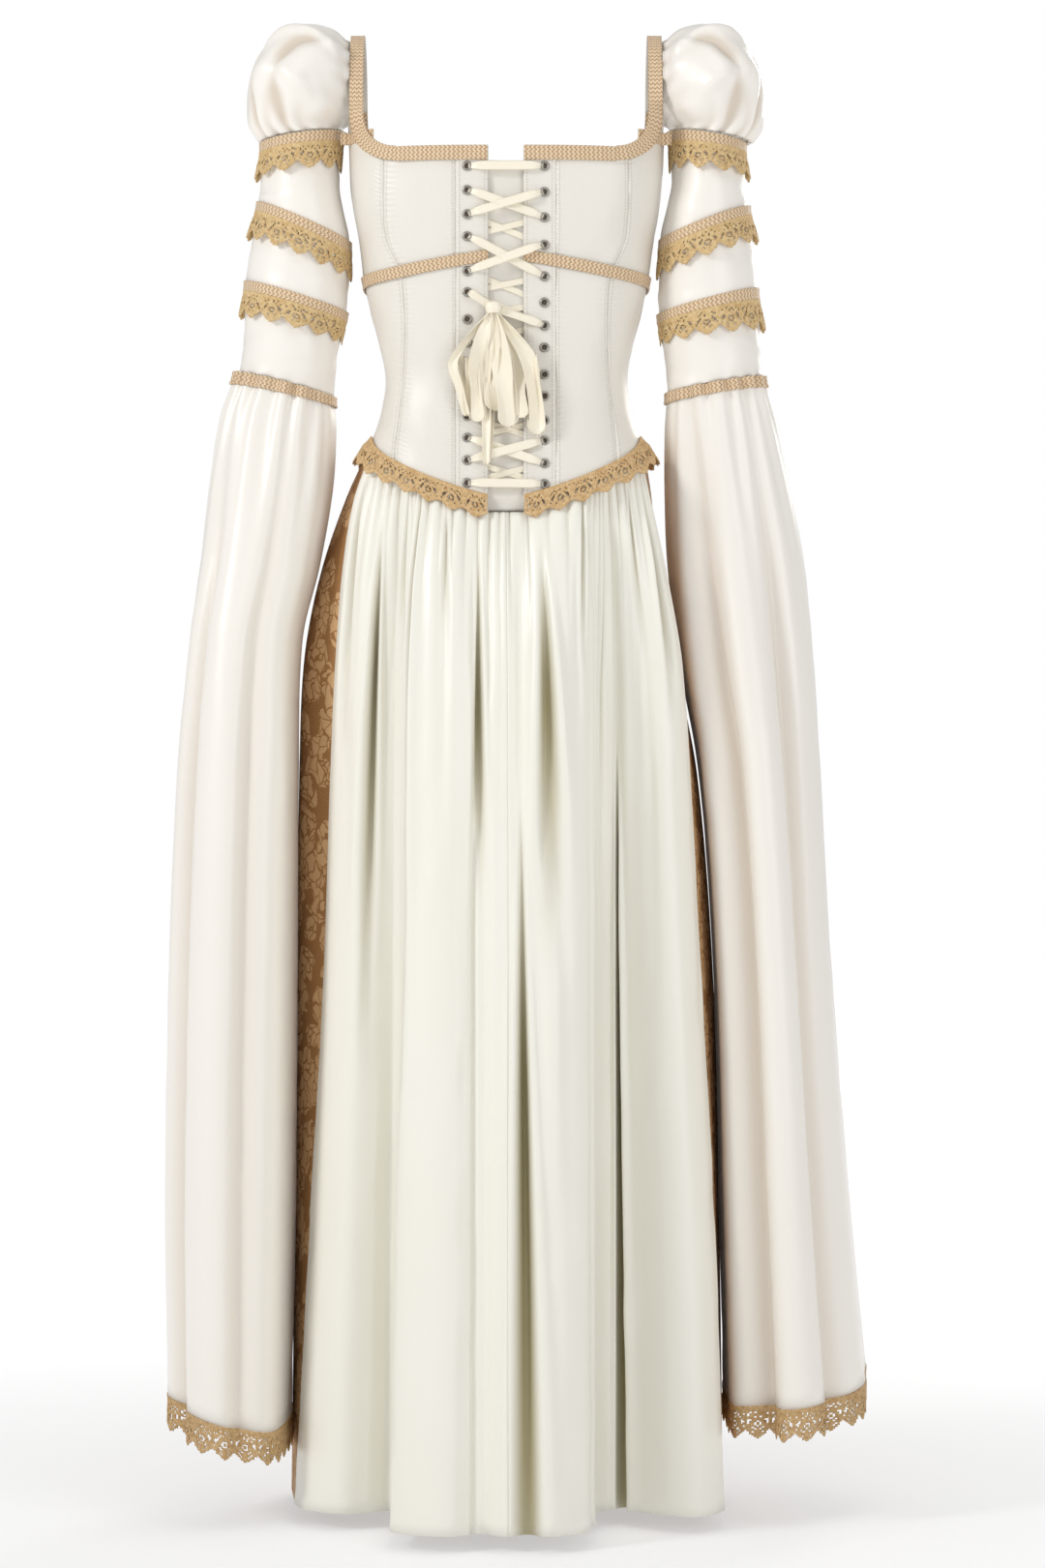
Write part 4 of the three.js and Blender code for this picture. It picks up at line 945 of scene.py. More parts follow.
@dataclass
class Bodice:
    """The boned bodice: two tiers of panels, plackets, modesty panel, straps, braids and lace."""

    finishes: Finishes
    columns: int = 26
    rows: int = 36
    seam_sink: float = 0.35
    panel_wall: float = 1.2
    placket_wall: float = 1.6
    modesty_wall: float = 0.8
    trim_wall: float = 1.4
    braid_wide: float = 11.0
    neck_wide: float = 14.0
    trim_lift: float = BODICE_SKIN + 1.6
    panels: tuple = (("back", 1, 2), ("side_back", 2, 3), ("side_front", 3, 4))
    # Half-round section of an eyelet's ring: distance from its axis, height
    eyelet: tuple = ((2.5, 0.1), (2.5, 0.9), (2.8, 1.5), (3.5, 1.8), (4.3, 1.4), (4.8, 0.6), (4.9, 0.0))
    # Radius of the painted shade disc inside an eyelet, and its height
    hole: tuple = (2.6, 0.25)
    # Distances of a placket's two bones from the middle
    bones: tuple = (26.0, 46.0)
    modesty_half: float = 31.0
    # Start of the neck braid beside the opening, and the angles by which its parts stop short
    neck_start: float = 17.6
    bend_short: float = 0.02
    strap_short: float = 0.16

    @staticmethod
    def level(label: Array, v: Array, edge: Array, upper: bool) -> Array:
        """Height at a share down a tier.

        Args:
            label: seam label.
            v: share down the tier.
            edge: upper edge of the upper tier at that label.
            upper: whether it is the upper tier.

        Returns:
            Heights.
        """
        seam = underbust(TORSO_FORM.x_at(label, UNDERBUST_Z))
        top, low = (edge, seam + TIER_GAP) if upper else (seam - TIER_GAP, basque_edge(label))
        return top + (low - top) * v

    @staticmethod
    def from_seam(grid: Grid) -> Array:
        """Distance from the nearer side seam of a panel."""
        return np.minimum(grid.u - grid.u.min(), grid.u.max() - grid.u)

    def panel(self, side: Side, first: float, last: float, tier: str, word: str) -> None:
        """One panel: torso points between two labels, sunk at its seams and softly creased.

        Args:
            side: side of the dress.
            first: label of its first seam.
            last: label of its last seam.
            tier: upper or lower.
            word: its place, as the node's name has it.
        """
        upper = tier == "upper"

        def surface(label: Array, v: Array) -> tuple:
            edge = top_edge(TORSO_FORM.x_at(label, ARMHOLE_LOW), label > 3)
            return TORSO_FORM.by_label(side.value, label, self.level(label, v, edge, upper))

        grid = spread_grid(surface, np.linspace(first, last, self.columns), np.linspace(0, 1, self.rows))
        away, z = self.from_seam(grid), grid.point[..., 2]
        sink = -self.seam_sink * bump(away, 2.2) - 0.25 * bump(away - 6.5, 1.6)
        seed = first * 3.1 + (0 if upper else 5) + side.value
        pull = 0.5 * waver(z / 13 + grid.u / 40, seed) * bump(away, 16)
        pull = pull + 0.5 * waver(z / 34 - grid.u / 26, seed + 2)
        pucker = 0.22 * np.sin(z * TURN / PUCKER_STEP + 0.6 * np.sin(z / 17)) * bump(grid.u - 4, 7)
        grid = grid.lifted(0.5 + sink + pull + (pucker if first == 1 else 0))
        grid.edge = away
        self.finishes.bodice.sew(grid, f"{tier}_{word}_{side.word}", self.panel_wall)

    def centre_front(self, tier: str) -> None:
        """The front panel over both sides of the middle, in the upper or the lower tier.

        Args:
            tier: upper or lower.
        """
        upper = tier == "upper"

        def surface(u: Array, v: Array) -> tuple:
            label = 5 - np.abs(u)
            z = self.level(label, v, front_neck(TORSO_FORM.x_at(label, ARMHOLE_LOW)), upper)
            return TORSO_FORM.at(np.where(u < 0, -1.0, 1.0), TORSO_FORM.label_angle(label, z), z)

        grid = spread_grid(surface, np.linspace(-1, 1, 45), np.linspace(0, 1, self.rows))
        away = self.from_seam(grid)
        pull = 0.5 * waver(grid.point[..., 2] / 30 + grid.u / 35, 1.0 + upper)
        grid = grid.lifted(0.4 - self.seam_sink * bump(away, 2.2) + pull)
        grid.edge = away
        self.finishes.bodice.sew(grid, f"{tier}_front", self.panel_wall)

    def placket(self, side: Side) -> None:
        """The boned strip along the opening, with its ribbed pucker and fourteen nickel eyelets.

        Args:
            side: side of the dress.
        """

        def surface(label: Array, v: Array) -> tuple:
            low = basque_edge(label, -450.0)
            return TORSO_FORM.by_label(side.value, label, NECK_TOP + (low - NECK_TOP) * v)

        grid = spread_grid(surface, np.linspace(0, 1, 24), np.linspace(0, 1, 150))
        z, x = grid.point[..., 2], np.abs(grid.point[..., 0])
        inner, outer = self.bones
        ribs = 0.28 * np.sin(z * TURN / PUCKER_STEP + 0.8 * np.sin(z / 21)) * bump(x - outer, 5)
        bone = 0.5 * bump(x - inner, 4.5) + 0.4 * bump(x - outer, 3)
        edge = np.minimum(x - OPENING_HALF, PLACKET_X - x)
        dimple = sum((bump(np.hypot(x - EYELET_X, z - high), 5.5) for high in EYELETS[side]), 0 * x)
        relief = ribs + bone - 0.5 * bump(edge, 1.2) - 0.5 * dimple
        grid = grid.lifted(0.4 + relief + 0.3 * waver(z / 16, side.value))
        grid.edge = edge
        self.finishes.bodice.sew(grid, f"placket_{side.word}", self.placket_wall)
        self.eyelets(side)

    def eyelets(self, side: Side) -> None:
        """Rolled nickel rings (a half-round profile turned about each eyelet's axis) and discs of painted
        shade in their holes.

        Args:
            side: side of the dress.
        """
        profile = np.array(self.eyelet)
        count, steps = len(profile), EYELET_STEPS
        around = np.linspace(0, TURN, steps, endpoint=False)[:, None]
        i, j = np.meshgrid(np.arange(steps), np.arange(count - 1), indexing="ij")
        ahead = (i + 1) % steps
        quads = np.stack([i * count + j, i * count + j + 1, ahead * count + j + 1, ahead * count + j], -1)
        rings, faces, holes, shade_disc_faces = [], [], [], []
        radius, lift = self.hole
        for number, high in enumerate(EYELETS[side]):
            centre, out = TORSO_FORM.by_x(side.value * EYELET_X, high)
            across = unit(np.cross(out, UP))
            circle = np.cos(around) * across + np.sin(around) * np.cross(across, out)
            ring = centre + out * BODICE_SKIN + circle[:, None, :] * profile[None, :, :1]
            rings.append((ring + out * profile[None, :, 1:]).reshape(-1, 3))
            faces.append(quads.reshape(-1, 4) + number * steps * count)
            # Painted shade: a dark disc just over the skin stands in for the shade inside the eyelet
            holes.append(centre + out * (BODICE_SKIN + lift) + circle * radius)
            shade_disc_faces.append(np.arange(steps) + number * steps)
        self.loose(f"eyelets_{side.word}", rings, np.concatenate(faces), self.finishes.nickel)
        self.loose(f"eyelet_holes_{side.word}", holes, np.stack(shade_disc_faces), self.finishes.hole)

    @staticmethod
    def loose(name: str, rings: list, faces: Array, material: Material) -> None:
        """Make one mesh of rings of points in millimetres, with its finish, on the root body.

        Args:
            name: the object's name.
            rings: lists of points.
            faces: numbers of each face's points.
            material: its finish.
        """
        mesh = bpy.data.meshes.new(name)
        mesh.from_pydata((np.concatenate(rings) * MM).tolist(), [], faces.tolist())
        mesh.materials.append(material)
        mesh.shade_smooth()
        item = bpy.data.objects.new(name, mesh)
        bpy.context.scene.collection.objects.link(item)
        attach(item, "root")
        LOG.info("%s: %d faces", name, len(faces))

    def modesty(self) -> None:
        """The panel behind the lacing, slightly crumpled."""
        heights = np.linspace(NECK_TOP - 14, SKIRT_TOP + 1.5, 110)
        across = np.linspace(-self.modesty_half, self.modesty_half, 28)
        grid = spread_grid(TORSO_FORM.by_x, across, heights)
        z, x = grid.point[..., 2], grid.point[..., 0]
        grid = grid.lifted(-3.6 + 0.7 * waver(z / 15 + x / 21, 0.4) + 0.4 * waver(z / 6 - x / 13, 2.0))
        self.finishes.bodice.sew(grid, "modesty_panel", self.modesty_wall)

    @staticmethod
    def arch(side: float, x: Array, turn: Array) -> tuple:
        """Strap arch: half an ellipse over the shoulder from the back corner to the front corner."""
        low = STRAP_FOOT + 0.4
        back = TORSO_FORM.by_x(STRAP_MIDDLE + 0 * turn, STRAP_FOOT + 0 * turn, turn > math.pi / 2)[0][..., 1]
        y = -5 - np.abs(back + 5) * np.cos(turn)
        z = low - low * np.sin(turn)
        point = xyz(side * x, y, z)
        out = xyz(0 * x, -np.cos(turn) * abs(low), np.sin(turn) * 50)
        return point, unit(out)

    def strap(self, side: Side) -> None:
        """The cloth strap under the braid."""

        def surface(u: Array, turn: Array) -> tuple:
            return self.arch(side.value, STRAP_MIDDLE + u * STRAP_HALF, turn)

        grid = spread_grid(surface, np.linspace(-1, 1, 7), np.linspace(0.24, math.pi - 0.24, 60))
        self.finishes.bodice.sew(grid, f"strap_{side.word}", self.trim_wall)

    def neck_braid(self, side: Side) -> None:
        """Braid along the back neckline, round the corner, over the strap and down to the front.

        Args:
            side: side of the dress.
        """
        radius, width, lift = STRAP_MIDDLE - CORNER_X, self.neck_wide, BODICE_SKIN + 1.5
        v = np.linspace(0, 1, 9)
        shift = (v - 0.5) * width
        parts = []
        x = np.linspace(self.neck_start, CORNER_X, 60)[:, None] + 0 * shift
        parts.append(TORSO_FORM.by_x(side.value * x, NECK_TOP - width / 2 - shift + 0 * x))
        for front in (False, True):
            bend = np.linspace(self.bend_short, math.pi / 2 - self.bend_short, 28)[:, None]
            reach = radius + shift
            cx, cz = CORNER_X + reach * np.sin(bend), STRAP_FOOT - reach * np.cos(bend)
            cx = np.minimum(cx, TORSO.read(cz, "half") - 0.4)
            p, n = TORSO_FORM.by_x(side.value * cx, cz, front)
            ahead = np.array([0.0, 1.0 if front else -1.0, 0.0])
            n = unit(n + (ahead - n) * np.sin(bend)[..., None])
            p = p + n * 3.0 * np.sin(bend)[..., None]
            parts.append((p[::-1], n[::-1]) if front else (p, n))
        turn = np.linspace(self.strap_short, math.pi - self.strap_short, 80)[:, None] + 0 * shift
        parts.insert(2, self.arch(side.value, STRAP_MIDDLE + shift * 0.97 + 0 * turn, turn))
        point = np.concatenate([p for p, _ in parts], axis=0)
        out = np.concatenate([n for _, n in parts], axis=0)
        grid = fixed_grid(point, out, np.arange(len(point)), v)
        grid = grid.lifted(lift + braid_relief(grid.u, width, grid.v))
        self.finishes.braid.sew(grid, f"neck_braid_{side.word}", self.trim_wall)

    def stub(self, side: Side) -> None:
        """The short level braid that joins the neckline's corner to the first sleeve band.

        Args:
            side: side of the dress.
        """
        width, top, torso_edge = self.braid_wide, -97.0, 150.0

        def surface(x: Array, v: Array) -> tuple:
            point, out = TORSO_FORM.by_x(side.value * np.minimum(x, torso_edge), top - v)
            point[..., 0] = side.value * x
            return point, TO_VIEWER + 0 * out

        grid = spread_grid(surface, np.linspace(128, 161, 24), np.linspace(0, width, 9))
        grid = grid.lifted(BODICE_SKIN + 1.2 + braid_relief(grid.u, width, grid.v))
        self.finishes.braid.sew(grid, f"braid_stub_{side.word}", self.trim_wall, alone=True)

    def level_braid(self, name: str, surface: Surface, u: Array, width: float) -> None:
        """A braid over a surface of one length and one width parameter.

        Args:
            name: node that it replaces.
            surface: gives points for a length and a depth below the braid's top.
            u: values along.
            width: width of the braid.
        """
        grid = spread_grid(surface, u, np.linspace(0, width, 9))
        grid = grid.lifted(self.trim_lift + braid_relief(grid.u, width, grid.v))
        self.finishes.braid.sew(grid, name, self.trim_wall)

    def trims(self, side: Side) -> None:
        """Underbust braid and the scalloped waist lace of one side.

        Args:
            side: side of the dress.
        """

        def under(label: Array, v: Array) -> tuple:
            seam = underbust(TORSO_FORM.x_at(label, UNDERBUST_Z))
            return TORSO_FORM.by_label(side.value, label, seam + self.braid_wide / 2 - v)

        labels = np.linspace(0.0, 4.9995, 230)
        self.level_braid(f"underbust_braid_{side.word}", under, labels, self.braid_wide)
        above, full = 9.0, 25.0

        def lace(label: Array, v: Array) -> tuple:
            edge = basque_edge(label)
            drop = v * full
            point, out = TORSO_FORM.by_label(side.value, label, np.maximum(edge + above - drop, edge))
            past = np.maximum(drop - above, 0)
            flare = 3.4 * ease(drop / above) + past * (0.42 + 0.2 * ease((label - 1.5) / 1.5))
            point[..., 2] = edge + above - drop
            return point + out * flare[..., None], out

        grid = spread_grid(lace, np.linspace(0.012, 4.998, 330), np.linspace(0, 1, 21))
        scallops = Scallops(full, 23.5, 6.0, self.trim_lift)
        scallops.sew(self.finishes.waist, grid, f"waist_lace_{side.word}")

    def front_braid(self) -> None:
        """Braid along the front neckline."""

        def surface(u: Array, v: Array) -> tuple:
            x = np.abs(u) * (CORNER_X - 0.8)
            return TORSO_FORM.by_x(np.where(u < 0, -x, x), front_neck(x) - v, True)

        self.level_braid("neck_braid_front", surface, np.linspace(-1, 1, 150), self.neck_wide)

    def build(self) -> None:
        """Make every piece of the bodice."""
        for side in Side:
            for tier in ("upper", "lower"):
                for word, first, last in self.panels:
                    self.panel(side, first, last, tier, word)
            self.placket(side)
            self.strap(side)
            self.neck_braid(side)
            self.stub(side)
            self.trims(side)
        self.centre_front("upper")
        self.centre_front("lower")
        self.modesty()
        self.front_braid()


SPREAD = Table(
    "down slow_left slow_right quick_left quick_right depth",
    (
        (0, 0, 0, 0, 0, 0), (0.045, 0.22, 0.12, 0.28, 0.09, 0.15), (0.113, 0.37, 0.31, 0.57, 0.14, 0.27),
        (0.2, 0.46, 0.5, 0.8, 0.36, 0.37), (0.31, 0.53, 0.6, 0.87, 0.66, 0.46),
        (0.5, 0.62, 0.73, 0.91, 0.87, 0.62), (0.73, 0.8, 0.89, 0.95, 0.95, 0.8), (1, 1, 1, 1, 1, 1),
    ),
)
BACK_FOLDS = Table(
    "index waist hem_x hem_y",
    (
        (0, -131, -205, -44), (1, -127, -193, -80), (2, -116, -162, -106), (3, -104, -134, -100),
        (4, -93, -112, -86), (5, -87, -104, -148), (6, -80, -107, -208), (7, -68, -84, -232),
        (8, -50, -54, -240), (9, -34, -34, -229), (10, -18, -17, -222), (11, 0, 4, -236),
        (12, 22, 32, -239), (13, 50, 60, -230), (14, 74, 78, -206), (15, 82, 80, -148),
        (16, 90, 90, -94), (17, 97, 107, -76), (18, 106, 130, -94), (19, 115, 158, -120),
        (20, 122, 184, -124), (21, 127, 202, -104), (22, 130, 210, -84),
    ),
)
FRONT_CREASES = Table(
    "top hem width high start",
    (
        (0.26, 0.22, 0.014, -6, 0.12), (0.31, 0.27, 0.022, 7, 0.05), (0.345, 0.325, 0.012, -8, 0.1),
        (0.385, 0.365, 0.02, 8, 0.2), (0.42, 0.41, 0.013, -6, 0.3), (0.455, 0.45, 0.024, 9, 0.02),
        (0.49, 0.495, 0.012, -9, 0.08), (0.525, 0.535, 0.018, 7, 0.15), (0.57, 0.585, 0.014, -8, 0.03),
        (0.6, 0.625, 0.022, 8, 0.12), (0.64, 0.67, 0.013, -7, 0.25), (0.68, 0.715, 0.022, 7, 0.05),
        (0.72, 0.765, 0.014, -6, 0.15),
    ),
)
FRONT_FOLDS = Table(
    "side turn hem_x hem_y early",
    (
        (-1, 0.5, -205, 6, 1), (-1, 0.54, -207, 46, 1), (-1, 0.59, -212, 84, 0.9), (-1, 0.65, -200, 120, 0.7),
        (-1, 0.72, -178, 150, 0.5), (-1, 0.8, -140, 196, 0.3), (-1, 0.88, -88, 204, 0.2),
        (-1, 0.95, -44, 234, 0), (1, 1.0, 0, 222, 0), (1, 0.95, 46, 236, 0), (1, 0.88, 92, 206, 0.2),
        (1, 0.8, 142, 194, 0.3), (1, 0.72, 180, 152, 0.5), (1, 0.65, 202, 118, 0.7),
        (1, 0.59, 212, 84, 0.9), (1, 0.54, 207, 44, 1), (1, 0.5, 206, 0, 1),
    ),
)
# Valleys of the back skirt: place, lean, narrow, wide, deep, start, full, end
VALLEYS = (
    (-0.9, 0.0, 0.008, 0.018, 6.0, 0.01, 0.08, 0.3), (-0.765, -0.01, 0.008, 0.026, 13.0, 0.03, 0.2, 0.62),
    (-0.6, 0.0, 0.006, 0.014, 5.0, 0.0, 0.06, 0.2), (-0.44, -0.03, 0.006, 0.02, 10.0, 0.0, 0.12, 0.7),
    (-0.3, 0.0, 0.006, 0.012, 4.0, 0.0, 0.05, 0.16), (-0.135, 0.01, 0.006, 0.022, 13.0, 0.02, 0.2, 0.42),
    (0.045, 0.02, 0.004, 0.045, 17.0, 0.25, 0.62, 1.8), (0.125, 0.02, 0.006, 0.03, 14.0, 0.02, 0.2, 0.48),
    (0.27, 0.0, 0.006, 0.012, 5.0, 0.0, 0.06, 0.2), (0.43, 0.0, 0.005, 0.008, 5.0, 0.0, 0.1, 0.5),
    (0.48, 0.0, 0.005, 0.009, 5.0, 0.0, 0.1, 0.4), (0.57, -0.01, 0.006, 0.024, 20.0, 0.24, 0.45, 1.8),
    (0.71, 0.0, 0.006, 0.016, 5.0, 0.0, 0.06, 0.2), (0.85, 0.01, 0.008, 0.024, 10.0, 0.02, 0.1, 0.26),
)
# Softer folds of the back skirt: place, width, high, start, end
BACK_CREASES = (
    (-0.9, 0.03, -5.0, 0.02, 0.34), (-0.83, 0.03, 4.0, 0.0, 0.5), (-0.72, 0.035, -4.0, 0.05, 0.7),
    (-0.62, 0.03, 4.0, 0.0, 0.6), (-0.52, 0.022, -8.0, 0.0, 0.75), (-0.42, 0.03, 4.0, 0.02, 0.5),
    (-0.3, 0.02, -4.0, 0.0, 0.4), (-0.16, 0.016, -6.0, 0.04, 1.4), (-0.06, 0.03, 3.0, 0.1, 1.4),
    (0.05, 0.022, -5.0, 0.0, 0.5), (0.14, 0.03, 4.0, 0.05, 0.8), (0.24, 0.022, -4.0, 0.0, 0.35),
    (0.33, 0.014, 5.0, 0.02, 1.4), (0.37, 0.012, -7.0, 0.05, 1.2), (0.48, 0.03, -4.0, 0.1, 0.5),
    (0.62, 0.03, 4.0, 0.0, 0.5), (0.72, 0.03, -4.0, 0.05, 0.6), (0.87, 0.025, -6.0, 0.03, 0.24),
)


@dataclass(frozen=True)
class LongFold:
    """A fold that runs down a skirt or a sleeve: its place across, width, height, start and end."""

    place: float
    width: float
    high: float
    start: float
    end: float

    def relief(self, place: Array, down: Array) -> Array:
        """Bell section across, with a soft start and end down the length."""
        reach = ease((down - self.start) / 0.12) * ease((self.end - down) / 0.3)
        return self.high * bump(place - self.place, self.width) * reach


@dataclass(frozen=True)
class Valley:
    """A deep pointed valley between two released pleats: narrow above, wide and soft below."""

    place: float
    lean: float
    narrow: float
    wide: float
    deep: float
    start: float
    full: float
    end: float

    def parts(self, place: Array, down: Array) -> tuple:
        """Distance from the valley's line, its half width there and how far it has opened."""
        share = np.clip((down - self.start) / (self.end - self.start), 0, 1)
        width = self.narrow + (self.wide - self.narrow) * np.minimum(share * 1.6, 1)
        away = np.abs(place - self.place - self.lean * share)
        opened = ease((down - self.start) / (self.full - self.start))
        return away, width, opened * ease((self.end - down) / (self.end - self.full))

    def shape(self, place: Array, down: Array) -> Array:
        """Flat-bottomed section exp(-|x/w|^3) with steep sides, from 0 to 1."""
        away, width, reach = self.parts(place, down)
        return np.exp(-((away / width) ** 3)) * reach

    def relief(self, place: Array, down: Array) -> Array:
        """The valley and the two rounded pleats that stand beside it."""
        away, width, reach = self.parts(place, down)
        pleats = 0.3 * self.deep * bump(away - 1.9 * width, width) * reach
        return pleats - self.deep * self.shape(place, down)


@dataclass
class Skirt:
    """The gathered ivory back skirt in two panels, and the lace skirt round the sides and front."""

    finishes: Finishes
    waist_gap: float = 1.0
    gather_high: float = 2.6
    # Depth of a valley that counts as wholly shaded
    shaded: float = 14.0
    # Depth of the lace under the satin's edges, and how much deeper it dips inwards of them
    tuck: float = 4.6
    tuck_more: float = 6.0
    lace_short: float = 2.0
    back_columns: int = 381
    back_rows: int = 108
    front_columns: int = 250
    front_rows: int = 70
    back_wall: float = 0.9
    front_wall: float = 0.8
    valleys: tuple = tuple(Valley(*row) for row in VALLEYS)
    back_folds: tuple = tuple(LongFold(*row) for row in BACK_CREASES)

    def waist(self, x: Array) -> Array:
        """Torso point on the bodice's lower edge, a little lower in the middle."""
        size = np.abs(x)
        z = np.where(size < OPENING_HALF + 1, SKIRT_TOP, BASQUE.read(size, "z") - self.waist_gap)
        point, out = TORSO_FORM.by_x(x, z)
        return point + out * 1.2

    @staticmethod
    def spread(down: Array, left: Array, early: Array) -> tuple:
        """How far the skirt has opened across and in depth at a share of its length."""
        slow, quick = (
            SPREAD.read(down, f"{word}_right") * (1 - left) + SPREAD.read(down, f"{word}_left") * left
            for word in ("slow", "quick")
        )
        return slow + (quick - slow) * early, SPREAD.read(down, "depth")

    def opened(self, waist: Array, hem: tuple, down: Array, spread: tuple) -> Array:
        """Points between a waist point and a hem point as the skirt opens.

        Args:
            waist: the waist point.
            hem: x, y and z of the hem point.
            down: 0 at the waist, 1 at the hem.
            spread: how far it has opened across and in depth.

        Returns:
            Points.
        """
        shares = (*spread, down)
        return np.stack([waist[..., k] + (hem[k] - waist[..., k]) * shares[k] for k in range(3)], axis=-1)

    def back_point(self, share: Array, down: Array) -> Array:
        """Point of the back skirt.

        Args:
            share: -1 at the left edge, 1 at the right edge.
            down: 0 at the waist, 1 at the hem.

        Returns:
            Points.
        """
        place = (share + 1) / 2 * (len(BACK_FOLDS.rows) - 1)
        waist = self.waist(BACK_FOLDS.read(place, "waist"))
        hem = (BACK_FOLDS.read(place, "hem_x"), BACK_FOLDS.read(place, "hem_y"), HEM_LEVEL)
        return self.opened(waist, hem, down, self.spread(down, (1 - share) / 2, 0 * share))

    def back_relief(self, share: Array, down: Array) -> tuple:
        """Height of the back skirt's cloth over its form, and the shade painted between its folds.

        Args:
            share: place across.
            down: share of the length.

        Returns:
            Height in millimetres, and painted shade from 0 to 1.
        """
        fade = np.exp(-down / (0.07 + 0.04 * waver(share * 19, 2.2)))
        drift = 0.25 * waver(share * 6 + down * 9, 1.7) * ease(down / 0.1)
        warp = share * 17 + 0.3 * waver(share * 15, 0.5) + drift
        comb = np.abs(np.cos(math.pi * warp))
        from_edge = 1 - np.abs(share)
        inner = ease(from_edge / 0.05)
        gathers = self.gather_high * (1 + 0.4 * waver(share * 31, 1.1)) * (2 * comb**0.7 - 1) * fade * inner
        second = 1.6 * np.cos(math.pi * (warp * 0.5 + 0.3)) * np.exp(-down / 0.24) * ease(down / 0.05) * inner
        # Painted shade: deep in the valleys, and a little between the gathers under the waist
        shades = (valley.deep / self.shaded * valley.shape(share, down) for valley in self.valleys)
        painted_shade = sum(shades, 0 * share)
        folds = sum((fold.relief(share, down) for fold in self.valleys + self.back_folds), 0 * share)
        ripple = 1.1 * waver(down * 34 + share * 9, 0.3) * waver(share * 21 - down * 7, 1.3)
        ripple = ripple * ease(down / 0.2)
        seam, hem = -0.8 * bump(share, 0.003), 0.7 * (down > 0.992)
        high = gathers + second + folds * ease(from_edge / 0.06) + ripple + seam + hem
        return high, painted_shade + 0.3 * (1 - comb) ** 2 * fade

    def back(self) -> None:
        """Both back panels, from one surface that is split at the centre-back seam."""
        across, rows = np.linspace(-1, 1, self.back_columns), ease_rows(self.back_rows)
        share, down = np.meshgrid(across, rows, indexing="ij")
        point = self.back_point(share, down)
        out = grid_out(point, xyz(share * 0.8, -1 + 0 * share, 0 * share))
        high, painted_shade = self.back_relief(share, down)
        point = point + out * high[..., None]
        middle = self.back_columns // 2
        for side, chosen in ((Side.LEFT, slice(0, middle + 1)), (Side.RIGHT, slice(middle, None))):
            grid = fixed_grid(point[chosen], out[chosen], across[chosen], rows)
            grid.painted_shade = painted_shade[chosen]
            self.finishes.skirt.sew(grid, f"skirt_back_{side.word}", self.back_wall)

    def front_ring(self, down: Array) -> Array:
        """Columns of the lace skirt: tucked under the satin's edges, then round sides and front.

        Args:
            down: shares of the length.

        Returns:
            Points, column by row.
        """
        edge = np.array([0.9, 0.95, 1.0])
        share, grid_down = np.meshgrid(np.concatenate([-edge, edge[::-1]]), down, indexing="ij")
        base = self.back_point(share, grid_down)
        ahead = self.back_point(share + 0.01 * np.sign(-share), grid_down)
        along = unit(ahead - base) * np.sign(-share)[..., None]
        out = unit(np.cross(along, -UP))
        out = np.where(out[..., 1:2] > 0, -out, out)
        # Deeper where the satin's outer valleys dip, so that the lace stays behind them
        sink = self.tuck + self.tuck_more * ease((1.0 - np.abs(share)) / 0.05)
        tuck = base - out * sink[..., None]
        ring = list(tuck[: len(edge)])
        for side, turn, hem_x, hem_y, early in FRONT_FOLDS.rows:
            angle = np.full_like(down, turn * math.pi)
            first = TORSO_FORM.at(side, angle, 0 * down - 420)[0]
            z = BASQUE.read(np.abs(first[..., 0]), "z") - self.waist_gap
            waist = TORSO_FORM.at(side, angle, z)[0]
            spread = self.spread(down, 0 * down + (side < 0), 0 * down + early)
            ring.append(self.opened(waist, (hem_x, hem_y, HEM_LEVEL + self.lace_short), down, spread))
        return np.stack(ring + list(tuck[len(edge) :]), axis=0)

    def front(self) -> None:
        """The lace skirt, with its gathers under the waist and its long folds."""
        down = ease_rows(self.front_rows)
        control = self.front_ring(down)
        last = len(control) - 1
        place = np.linspace(0, last, self.front_columns)
        point = hermite(np.arange(last + 1.0), control, place)
        out = grid_out(point, point * (1, 1, 0) + (0, 20, 0))
        across = place[:, None] / last + 0 * down
        inside = ease((0.5 - np.abs(across - 0.5) - 0.12) / 0.1)
        waves = math.pi * (across * 28 + 0.2 * waver(across * 30, 0.2))
        gathers = 1.7 * np.cos(waves) * np.exp(-down / 0.15) * inside
        ripple = 1.4 * waver(across * 40, 0.9) * ease(down / 0.3) * inside
        sides = 5.0 * bump(np.abs(across - 0.5) - 0.33, 0.1) * ease(down / 0.15)
        folds = 0 * across
        for top, hem, width, high, start in FRONT_CREASES.rows:
            centre = top + (hem - top) * down
            section = bump(across - centre, width * (0.8 + 0.4 * down))
            folds = folds + high * section * ease((down - start) / 0.35 + 0.1)
        point = point + out * (gathers + ripple + sides + folds)[..., None]
        grid = fixed_grid(point, out, place, down)
        # Painted shade in the troughs of the long folds and of the gathers
        grid.painted_shade = np.clip(-folds / 9, 0, 1) * 0.6 + np.clip(-gathers / 4, 0, 0.4)
        self.finishes.floral.sew(grid, "skirt_front_lace", self.front_wall)

    def build(self) -> None:
        """Make the skirt."""
        self.back()
        self.front()


def ease_rows(count: int) -> Array:
    """Rows of a length that lie closer near its top."""
    t = np.linspace(0, 1, count)
    return 0.55 * t + 0.45 * t * t

